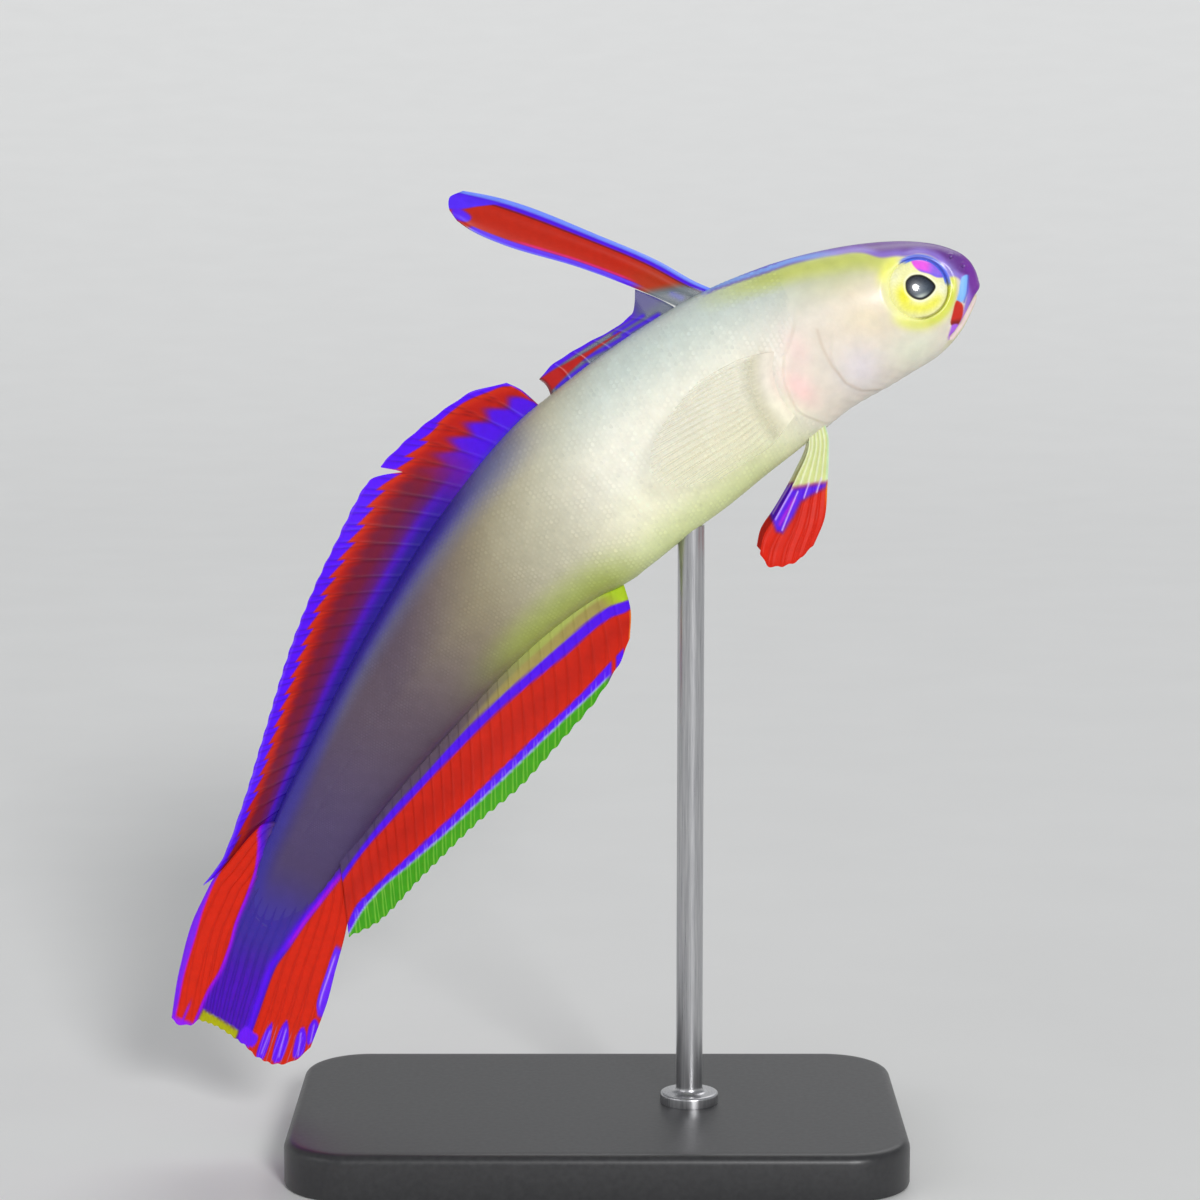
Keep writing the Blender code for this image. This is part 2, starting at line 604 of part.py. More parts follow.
def build_pectoral(name, side):
    """A pectoral fin: its root lies against the flank, and its rays run back and a little outwards."""
    rays = 18
    across = np.linspace(0, 1, 2 * rays - 1)
    out = np.array((0.0, 0.05, 0.13, 0.3, 0.52, 0.76, 1.0))
    root = [(15.9, 0.9), (16.7, -0.6), (17.0, -2.4), (16.7, -4.1)]
    front = [root[0], (18.2, 1.55), (21.5, 1.75)]
    rear = [root[-1], (19.8, -5.2), (24.0, -5.25)]
    margin = [(0.0, 21.5, 1.75), (0.2, 24.1, 1.0), (0.4, 26.4, 0.05), (0.55, 27.6, -1.0),
              (0.68, 28.1, -2.2), (0.8, 27.5, -3.5), (1.0, 24.0, -5.25)]
    flat = fin_sheet(root, margin, front, rear, across, out)
    reach = np.linalg.norm(flat - flat[:, :1], axis=2)
    y = flank(flat[:, :1, 0], flat[:, :1, 1]) + SEAM_GAP + 1 - np.exp(-reach / 0.45)
    y = y + PECTORAL_SPREAD * reach - PECTORAL_TWIST * (across[:, None] - 0.5) * reach
    middle = place(np.concatenate((flat, side * y[..., None]), -1)) / MM
    half = ray_thickness(across, out, rays, 0.15)
    base = []
    for shift in (-PECTORAL_BASE_HALF, PECTORAL_BASE_HALF):
        s = flat[:, 0, 0] + shift
        h = flat[:, 0, 1]
        base.append(place(np.stack((s, h, side * (flank(s, h) + SEAM_GAP)), -1)) / MM)
    if side < 0:
        base = base[::-1]
    fin_solid(name, middle, half, CLEAR_FIN_COLOUR, base)


def build_pelvic(name, side):
    """A pelvic fin: one spine and five rays below the breast, spread a little outwards."""
    rays = 6
    across = np.linspace(0, 1, 2 * rays - 1)
    out = np.linspace(0, 1, 9)
    depth = float(underside(15.2, PELVIC_OFF_MIDDLE)) - SEAM_GAP
    root = [(14.6, depth), (15.9, depth - 0.1)]
    front = [root[0], (15.35, -8.0), (16.95, -10.4), (18.6, -12.1), (20.75, -13.2)]
    rear = [root[-1], (18.6, -8.5), (21.8, -10.15), (25.15, -11.75)]
    margin = [(0.0, 20.75, -13.2), (0.35, 22.6, -13.5), (0.7, 24.3, -13.0), (1.0, 25.15, -11.75)]
    flat = fin_sheet(root, margin, front, rear, across, out)
    reach = np.linalg.norm(flat - flat[:, :1], axis=2)
    y = PELVIC_OFF_MIDDLE + PELVIC_SPREAD * reach
    y = y + PELVIC_CUP * np.sin(math.pi * across[:, None]) * reach
    middle = place(np.concatenate((flat, side * y[..., None]), -1)) / MM
    half = ray_thickness(across, out, rays, 0.15)
    base = []
    for shift in (-PELVIC_BASE_HALF, PELVIC_BASE_HALF):
        s = flat[:, 0, 0]
        y = np.full(len(s), PELVIC_OFF_MIDDLE + shift)
        base.append(place(np.stack((s, underside(s, y) - SEAM_GAP, side * y), -1)) / MM)
    if side < 0:
        base = base[::-1]
    fin_solid(name, middle, half, PELVIC_COLOUR, base)


def build_stand():
    """A flat base with rounded corners, and a rod whose top follows the belly."""
    form = bmesh.new()
    bmesh.ops.create_cube(form, size=1.0)
    bmesh.ops.scale(form, vec=(BASE_LENGTH * MM, BASE_DEPTH * MM, BASE_HEIGHT * MM), verts=form.verts)
    upright = [e for e in form.edges if abs(e.verts[0].co.z - e.verts[1].co.z) > BASE_HEIGHT * MM / 2]
    bmesh.ops.bevel(form, geom=upright, offset=BASE_CORNER * MM, segments=6, profile=0.5, affect="EDGES")
    top = [e for e in form.edges if min(v.co.z for v in e.verts) > 0 and len(e.link_faces) == 2
           and min(f.normal.z for f in e.link_faces) < 0.5]
    bmesh.ops.bevel(form, geom=top, offset=BASE_CHAMFER * MM, segments=2, profile=0.5, affect="EDGES")
    middle = Vector((BASE_CENTRE_X, 0.0, BASE_HEIGHT / 2)) * MM
    points = np.array([v.co + middle for v in form.verts])
    faces = [tuple(v.index for v in face.verts) for face in form.faces]
    form.free()
    piece("stand_base", points, faces, BASE_COLOUR, 0.35, 0.0, 30.0)
    sides = 20
    turn = np.linspace(0, 2 * math.pi, sides, endpoint=False)
    floor = BASE_HEIGHT + SEAM_GAP
    foot_top = floor + ROD_FOOT_HEIGHT
    tops = [belly_height(ROD_X + ROD_RADIUS * math.cos(a), ROD_RADIUS * math.sin(a)) for a in turn]
    profile = ((ROD_FOOT_RADIUS, floor), (ROD_FOOT_RADIUS, foot_top),
               (ROD_RADIUS, foot_top + ROD_FOOT_FILLET), (ROD_RADIUS, np.array(tops)))
    rows = []
    for radius, z in profile:
        rows.append(np.stack((ROD_X + radius * np.cos(turn), radius * np.sin(turn), z + 0 * turn), -1))
    ends = [(ROD_X, 0.0, floor), (ROD_X, 0.0, belly_height(ROD_X, 0.0))]
    points = np.concatenate((np.concatenate(rows), ends))
    piece("stand_rod", points * MM, loft_faces(len(rows), sides), ROD_COLOUR, 0.3, 1.0, 30.0)


def belly_height(x, y):
    """World height in millimetres just under the belly at x and y."""
    s = np.linspace(18, 40, 111)
    skin = place(np.stack((s, underside(s, np.full(len(s), y)) - SEAM_GAP, 0 * s), -1)) / MM
    return float(np.interp(-x, -skin[:, 0], skin[:, 2]))


def build():
    """Clears the scene and makes every piece."""
    for old in list(bpy.data.objects):
        bpy.data.objects.remove(old)
    build_head()
    build_trunk()
    build_first_dorsal()
    build_second_dorsal()
    build_anal_fin()
    build_caudal_fin()
    build_pectoral("pectoral_fin_right", -1)
    build_pectoral("pectoral_fin_left", 1)
    build_pelvic("pelvic_fin_right", -1)
    build_pelvic("pelvic_fin_left", 1)
    build_stand()


build()
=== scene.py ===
"""Purple firefish, life size, as a still model on a plain display stand.

The fish lies in the XZ plane, head towards +X, and its right side faces -Y.
Shapes are set out in millimetres along the fish and then bent along its axis:
s runs from the snout to the tail, h up towards the back, y to the fish's left.
"""

import bpy
import numpy as np
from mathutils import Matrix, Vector


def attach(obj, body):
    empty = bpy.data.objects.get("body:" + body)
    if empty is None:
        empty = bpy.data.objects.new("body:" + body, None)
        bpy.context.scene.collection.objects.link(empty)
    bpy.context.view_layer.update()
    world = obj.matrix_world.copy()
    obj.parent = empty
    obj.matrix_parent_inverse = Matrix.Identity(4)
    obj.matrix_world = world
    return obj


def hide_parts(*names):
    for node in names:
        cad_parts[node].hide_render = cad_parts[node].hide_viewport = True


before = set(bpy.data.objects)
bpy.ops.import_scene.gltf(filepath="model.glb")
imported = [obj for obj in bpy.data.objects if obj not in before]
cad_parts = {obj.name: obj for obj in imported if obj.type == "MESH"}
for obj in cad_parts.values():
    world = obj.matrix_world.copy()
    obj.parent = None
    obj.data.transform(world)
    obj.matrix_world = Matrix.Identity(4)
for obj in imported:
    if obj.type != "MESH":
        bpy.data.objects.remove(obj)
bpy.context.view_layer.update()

# The skin of the whole fish, from the snout to the root of the tail fin.
# Thin moist skin over the flesh, pearly in front and plum grey behind, with violet, blue and red
# marks on the head. It is one closed surface, with its folds, lips and eye rims raised in it.
MM = 0.001
SNOUT_X = 30.0
SNOUT_Z = 65.4
AXIS_S = (0.0, 10.0, 20.0, 30.0, 40.0, 50.0, 60.0, 70.0, 84.0)
AXIS_FALL = (14.0, 21.0, 30.5, 39.0, 46.5, 52.5, 57.5, 62.5, 66.0)
BACK = ((-0.2, 0.5), (-0.12, 1.15), (0.35, 2.28), (1.2, 3.1), (2.5, 3.9), (5.0, 4.85), (9.0, 5.78),
        (14.0, 6.5), (20.0, 6.9), (32.0, 6.85), (41.0, 5.98), (51.0, 4.58), (60.0, 3.42), (67.5, 2.75),
        (70.0, 2.45), (72.4, 1.85), (74.0, 0.9), (74.4, -0.2))
BELLY = ((-0.2, 0.5), (-0.12, 0.05), (0.3, -0.82), (0.95, -1.78), (1.8, -2.78), (3.4, -3.9),
         (5.0, -4.55), (9.0, -5.3), (12.0, -5.7), (15.0, -6.4), (20.0, -7.2), (26.0, -7.75),
         (32.0, -7.72), (35.5, -7.4), (38.0, -6.65), (45.5, -5.5), (54.5, -4.68), (63.0, -3.68),
         (67.5, -3.3), (70.0, -2.95), (72.4, -2.3), (74.0, -1.3), (74.4, -0.25))
HALF_WIDTH = ((-0.2, 0.0), (-0.12, 0.5), (0.3, 1.15), (1.0, 1.75), (2.5, 2.5), (4.5, 3.1), (7.0, 3.6),
              (11.0, 4.0), (16.0, 4.2), (24.0, 4.1), (32.0, 3.8), (40.0, 3.15), (50.0, 2.35),
              (60.0, 1.65), (67.5, 0.95), (70.0, 0.5), (72.4, 0.15), (74.0, 0.04), (74.4, 0.0))
WIDEST = ((-0.2, 0.5), (3.0, 0.2), (10.0, -0.3), (30.0, -0.4), (67.5, -0.2), (74.4, -0.22))
ROUNDNESS = 0.92
CREST_HEIGHT = ((2.0, 0.0), (6.0, 0.22), (14.0, 0.28), (17.6, 0.0))
CREST_TURN = 6.0
COAT_DEPTH = 0.03
SKIN_COLUMNS = 236
SKIN_ENDS = np.array(((-0.2, 0.5, 0.0), (74.4, -0.22, 0.0)))
ROW_STEPS = np.array(((-0.2, 0.006), (-0.1, 0.03), (0.6, 0.072), (16.0, 0.08), (24.0, 0.26), (60.0, 0.5),
                      (73.4, 0.3), (74.4, 0.03)))
AXIS_STEP = 0.05
DEEPEST_S = 28.0
GILL_EDGE = ((0.0, 12.4), (60.0, 13.0), (78.0, 14.1), (88.0, 15.3), (100.0, 16.0), (117.0, 16.1),
             (142.0, 15.0), (180.0, 13.2))
CHEEK_EDGE = ((0.0, 9.4), (60.0, 10.0), (85.0, 11.3), (101.0, 12.1), (121.0, 11.9), (139.0, 11.1),
              (153.0, 10.0), (180.0, 8.4))
GILL_RISE = 0.07
CHEEK_RISE = 0.045
MOUTH = ((-0.5, 0.05), (-0.1, -0.33), (0.5, -0.75), (1.25, -1.55), (2.0, -2.32), (3.0, -3.05))
MAXILLA = ((0.75, 1.1), (1.05, 0.15), (1.5, -0.85), (2.1, -1.8), (2.75, -2.55))
NOSTRILS = ((0.8, 1.75), (1.5, 2.6))
EYE_S = 4.4
EYE_H = 1.15
EYE_RADIUS = 2.32
EYE_HALF_DEPTH = 1.15
EYE_OPENING = 2.2
EYE_LEAN = (15.0, 10.0)
EYE_INSET = 0.35
EYE_SINK = 0.45
STRIPE = ((3.3, -3.2), (2.62, -2.58), (1.95, -1.8), (1.4, -1.0), (1.1, -0.3), (1.2, 0.7), (1.6, 1.2),
          (2.15, 1.4), (2.22, 2.2), (2.75, 3.0), (3.6, 3.5), (4.6, 3.62), (5.2, 3.85), (6.3, 4.12),
          (7.2, 4.75), (8.0, 5.08), (9.0, 5.28), (10.0, 5.5), (12.0, 5.85), (14.0, 6.05), (16.0, 6.35),
          (17.2, 6.55), (18.4, 6.9), (18.6, 9.5), (8.0, 9.0), (-2.0, 5.0), (-3.0, -1.0), (0.5, -4.0))
BLUE_STRIP = ((0.68, 1.0), (1.1, 1.0), (1.35, 0.55), (1.6, 0.0), (1.9, -0.5), (1.65, -0.75),
              (1.3, -0.5), (1.0, 0.1))
RED_SPOT = ((1.88, -0.55), (2.1, -0.7), (2.4, -1.25), (2.75, -1.95), (2.72, -2.2), (2.3, -2.22),
            (1.85, -1.75), (1.6, -1.2), (1.65, -0.8))
VIOLET_TIP = ((2.3, -2.22), (2.75, -2.2), (3.15, -2.95), (2.65, -2.68))
SNOUT_LINE = ((0.62, 0.95), (0.98, -0.1), (1.45, -0.8))
GILL_CREASE = ((12.3, 0.9), (12.45, -0.4), (12.3, -2.0), (11.8, -3.5), (10.8, -4.6), (9.4, -5.1))
MARK_EDGE = 0.12


def ease(stations, at):
    """A smooth line through stations that doesn't overshoot them: cubic pieces whose slope at each
    station is the weighted harmonic mean of the rises on both sides, and level where it turns."""
    at = np.asarray(at, float)
    x, y = np.array(stations, float).T
    step = np.diff(x)
    rise = np.diff(y) / step
    w1 = 2 * step[1:] + step[:-1]
    w2 = step[1:] + 2 * step[:-1]
    turning = rise[:-1] * rise[1:] <= 0
    before = np.where(turning, 1.0, rise[:-1])
    after = np.where(turning, 1.0, rise[1:])
    inner = np.where(turning, 0.0, (w1 + w2) / (w1 / before + w2 / after))
    slope = np.concatenate((rise[:1], inner, rise[-1:]))
    i = np.clip(np.searchsorted(x, at, side="right") - 1, 0, len(x) - 2)
    t = np.clip((at - x[i]) / step[i], 0.0, 1.0)
    start = (1 + 2 * t) * (1 - t) ** 2 * y[i] + t * (1 - t) ** 2 * step[i] * slope[i]
    return start + t * t * (3 - 2 * t) * y[i + 1] - t * t * (1 - t) * step[i] * slope[i + 1]


def axis_table():
    """Distance, X, Z and fall of the body's axis: X and Z are running sums of the fall's cosine and sine."""
    s = np.arange(-8.0, 92.0, AXIS_STEP)
    fall = np.radians(np.interp(s, AXIS_S, AXIS_FALL))
    middle = (fall[1:] + fall[:-1]) / 2
    x = np.concatenate(([0.0], np.cumsum(-np.cos(middle) * AXIS_STEP)))
    z = np.concatenate(([0.0], np.cumsum(-np.sin(middle) * AXIS_STEP)))
    return s, x + SNOUT_X - np.interp(0.0, s, x), z + SNOUT_Z - np.interp(0.0, s, z), fall


AXIS = axis_table()


def place(s, h, y):
    """Points in world millimetres: the axis point at s, h square to the axis and y sideways."""
    fall = np.interp(s, AXIS[0], AXIS[3])
    x = np.interp(s, AXIS[0], AXIS[1]) - np.sin(fall) * h
    z = np.interp(s, AXIS[0], AXIS[2]) + np.cos(fall) * h
    return np.stack((x, y, z), -1)


def soft(value, start, end):
    """0 before start and 1 past end, with the S-curve t²(3 - 2t) between; end may be below start."""
    t = np.clip((value - start) / (end - start), 0.0, 1.0)
    return t * t * (3 - 2 * t)


def hill(gap, width):
    """1 where the gap is nought, falling away as a bell: e to the power of -(gap / width)²."""
    return np.exp(-(gap / width) ** 2)


def beside(line, s, h):
    """Distance from a broken line in s, h to the nearest point of its pieces, positive on its left."""
    line = np.array(line, float)
    nearest = np.full(np.shape(s), 1e9)
    side = np.ones(np.shape(s))
    for (a, b), (c, d) in zip(line[:-1], line[1:]):
        ds, dh = c - a, d - b
        t = np.clip(((s - a) * ds + (h - b) * dh) / (ds * ds + dh * dh), 0.0, 1.0)
        gap_s, gap_h = s - a - t * ds, h - b - t * dh
        gap = np.hypot(gap_s, gap_h)
        closer = gap < nearest
        nearest = np.where(closer, gap, nearest)
        side = np.where(closer, np.where(ds * gap_h - dh * gap_s >= 0, 1.0, -1.0), side)
    return nearest * side


def rounded(outline, steps=6):
    """Closed outline with Catmull-Rom curves between its points."""
    p = np.array(outline, float)
    t = np.arange(steps)[:, None, None] / steps
    a, b, c, d = np.roll(p, 1, 0), p, np.roll(p, -1, 0), np.roll(p, -2, 0)
    curve = b + 0.5 * t * (c - a + t * (2 * a - 5 * b + 4 * c - d + t * (3 * (b - c) + d - a)))
    return curve.transpose(1, 0, 2).reshape(-1, 2)


def depth_in(outline, s, h):
    """Distance to a rounded outline, positive inside it, where a line along s crosses it an odd number
    of times."""
    p = rounded(outline)
    inside = np.zeros(np.shape(s), bool)
    for (a, b), (c, d) in zip(p, np.roll(p, -1, 0)):
        if b != d:
            inside ^= ((b > h) != (d > h)) & (s < a + (h - b) * (c - a) / (d - b))
    gap = np.abs(beside(np.concatenate((p, p[:1])), s, h))
    return np.where(inside, gap, -gap)


def blot(outline, s, h, edge):
    """1 inside a rounded outline and 0 outside it, over an edge this wide."""
    return soft(depth_in(outline, s, h), -edge / 2, edge / 2)


def paint(ground, *layers):
    """Colours laid over a ground in turn: ground + share (colour - ground), with a share at each point."""
    for colour, share in layers:
        ground = ground + np.asarray(share)[..., None] * (np.array(colour, float) - ground)
    return ground


def tint(colour, alpha=1.0):
    """Screen colours from 0 to 255 as linear light, with alpha: ((c + 0.055) / 1.055) to the power of 2.4."""
    c = np.clip(colour / 255, 0, 1)
    c = np.where(c < 0.04045, c / 12.92, ((c + 0.055) / 1.055) ** 2.4)
    return np.concatenate((c, np.broadcast_to(alpha, c.shape[:-1])[..., None]), -1)


def flesh(s, turn):
    """Places s, h and y on the flesh: a superellipse round the widest line at s, with a low crest on top."""
    angle = np.radians(turn)
    middle = ease(WIDEST, s)
    up = ease(BACK, s) - middle
    down = middle - ease(BELLY, s)
    cos, sin = np.cos(angle), np.sin(angle)
    up = up - ease(CREST_HEIGHT, s) * (1 - hill(180 - np.abs(180 - turn), CREST_TURN))
    reach = np.where(cos > 0, up, down) * np.sign(cos) * np.abs(cos) ** ROUNDNESS
    y = ease(HALF_WIDTH, s) * np.sign(sin) * np.abs(sin) ** ROUNDNESS
    return s + 0 * reach, middle + reach, y


def flank(s, h):
    """Half width of the flesh at s and h, from the same superellipse."""
    middle = ease(WIDEST, s)
    reach = np.where(h > middle, ease(BACK, s) - middle, middle - ease(BELLY, s))
    cos = np.clip(np.abs(h - middle) / np.maximum(reach, 1e-6), 0.0, 0.999) ** (1 / ROUNDNESS)
    return ease(HALF_WIDTH, s) * np.sqrt(1 - cos ** 2) ** ROUNDNESS


def fold(gap, height, swell, drop, recovery, start):
    """Step of a cover's edge: it swells by height e^(gap / swell) up to the edge and then falls to
    -drop e^(-gap / recovery)."""
    ahead = height * np.exp(np.minimum(gap, 0) / swell)
    behind = -drop * np.exp(-np.maximum(gap, 0) / recovery)
    return ahead + (behind - ahead) * soft(gap, start, 0.2)


def relief(s, h, turn):
    """How far the skin stands out of the flesh: steps, bells and waves of the distance to each fold."""
    folded = 180 - np.abs(180 - np.mod(turn, 360))
    beam = np.sqrt(np.clip(np.sin(np.radians(folded)), 0, 1))
    # Rear edges of the gill cover and of the cheek.
    gill = s - ease(GILL_EDGE, folded)
    cheek = s - ease(CHEEK_EDGE, folded)
    rise = beam * fold(gill, GILL_RISE, 1.8, 0.05, 0.7, -0.05) * soft(folded, 62, 88)
    rise += beam * fold(cheek, CHEEK_RISE, 1.2, 0.03, 0.6, -0.08) * soft(folded, 82, 100)
    # Lips with the mouth's line between them, the upper jaw's strip, and the nostrils' rims and pits.
    mouth = np.abs(beside(MOUTH, s, h))
    rise += soft(s, 3.35, 2.85) * (0.08 * hill(mouth - 0.24, 0.14) - 0.22 * hill(mouth, 0.075))
    maxilla = beside(MAXILLA, s, h)
    rise += 0.06 * hill(maxilla, 0.2) - 0.05 * hill(maxilla - 0.42, 0.16)
    for at_s, at_h in NOSTRILS:
        gap = np.hypot(s - at_s, h - at_h)
        rise += 0.06 * hill(gap - 0.2, 0.08) - 0.14 * hill(gap, 0.11)
    # Ripples of the gill's skin, and the grooves between and beside the lower jaws.
    below = soft(folded, 128, 150)
    rise += 0.012 * below * soft(s, 6, 8) * soft(gill, 0.2, -0.6) * np.cos(2 * np.pi * gill / 0.95)
    rise -= 0.1 * hill(180 - folded, 5) * soft(s, 1.6, 2.6) * soft(s, 9.0, 6.5)
    rise -= 0.06 * hill(h + 4.6 + 0.16 * (s - 5), 0.16) * soft(s, 2.6, 3.4) * soft(s, 9.0, 6.0)
    # Lobe at the pectoral fin's foot, then the muscles' segments and the groove along the flank.
    rise += 0.2 * hill(s - 16.1, 0.8) * hill(h + 1.7, 2.4)
    segments = s / 1.9 + 0.42 * np.abs(h - 0.4) - 0.035 * (h - 0.4) ** 2
    rise += 0.01 * soft(s, 18, 24) * soft(s, 70, 64) * beam * np.cos(2 * np.pi * segments)
    rise -= 0.03 * hill(h - 0.4, 0.16) * soft(s, 20, 28) * soft(s, 70, 66)
    # The vent, and the sheaths along the feet of the second dorsal and anal fins.
    rise += 0.1 * hill(s - 34.6, 0.7) * hill(180 - folded, 9)
    sheath = soft(s, 30.5, 33) * hill(folded, 13) + soft(s, 34.6, 36.5) * hill(180 - folded, 13)
    return rise + 0.08 * sheath * soft(s, 68, 64)


def eye_frame(side):
    """Centre of an eye in world millimetres and its axes out, forwards and up; side is 1 on the left."""
    fall = np.radians(np.interp(EYE_S, AXIS_S, AXIS_FALL))
    lean = np.radians(EYE_LEAN)
    x, y, z = np.sin(lean[0]), side * np.cos(lean[0]) * np.cos(lean[1]), np.sin(lean[1])
    out = np.array((x * np.cos(fall) - z * np.sin(fall), y, x * np.sin(fall) + z * np.cos(fall)))
    out /= np.linalg.norm(out)
    level = flank(EYE_S, EYE_H) - EYE_INSET
    centre = place(EYE_S, EYE_H, side * level) - EYE_SINK * out
    up = np.array((-np.sin(fall), 0.0, np.cos(fall)))
    up -= out * (up @ out)
    up /= np.linalg.norm(up)
    return centre, out, np.cross(up, out) * side, up


def skin_at(s, turn):
    """Skin points in world millimetres, their normals, and s and h: flesh plus relief along the normal,
    which is the cross product of the surface's two slopes, with a round opening over each eye."""
    s, h, y = flesh(s, turn)
    along = place(*flesh(s + 0.01, turn)) - place(*flesh(s - 0.01, turn))
    across = place(*flesh(s, turn + 0.2)) - place(*flesh(s, turn - 0.2))
    out = np.cross(across, along)
    out /= np.maximum(np.linalg.norm(out, axis=-1), 1e-9)[..., None]
    points = place(s, h, y) + out * (relief(s, h, turn) - COAT_DEPTH)[..., None]
    for side in (-1, 1):
        centre, axis, _, _ = eye_frame(side)
        offset = points - centre
        depth = offset @ axis
        gap = np.linalg.norm(offset - depth[..., None] * axis, axis=-1)
        near = (y * side > 0) & (s < 9)
        dome = EYE_HALF_DEPTH * np.sqrt(np.clip(1 - (np.minimum(gap, EYE_OPENING) / EYE_RADIUS) ** 2, 0, 1))
        front = soft(s - 0.5 * h, 5.0, 3.0)
        ring = (dome - depth) * soft(gap, EYE_OPENING + 0.75, EYE_OPENING)
        lid = (0.02 + 0.04 * front) * hill(gap - EYE_OPENING - 0.2, 0.14)
        sink = (dome + 0.3) * soft(gap, EYE_OPENING, EYE_OPENING - 0.12)
        points = points + np.where(near, ring + lid - sink, 0.0)[..., None] * axis
    return points, out, s, h


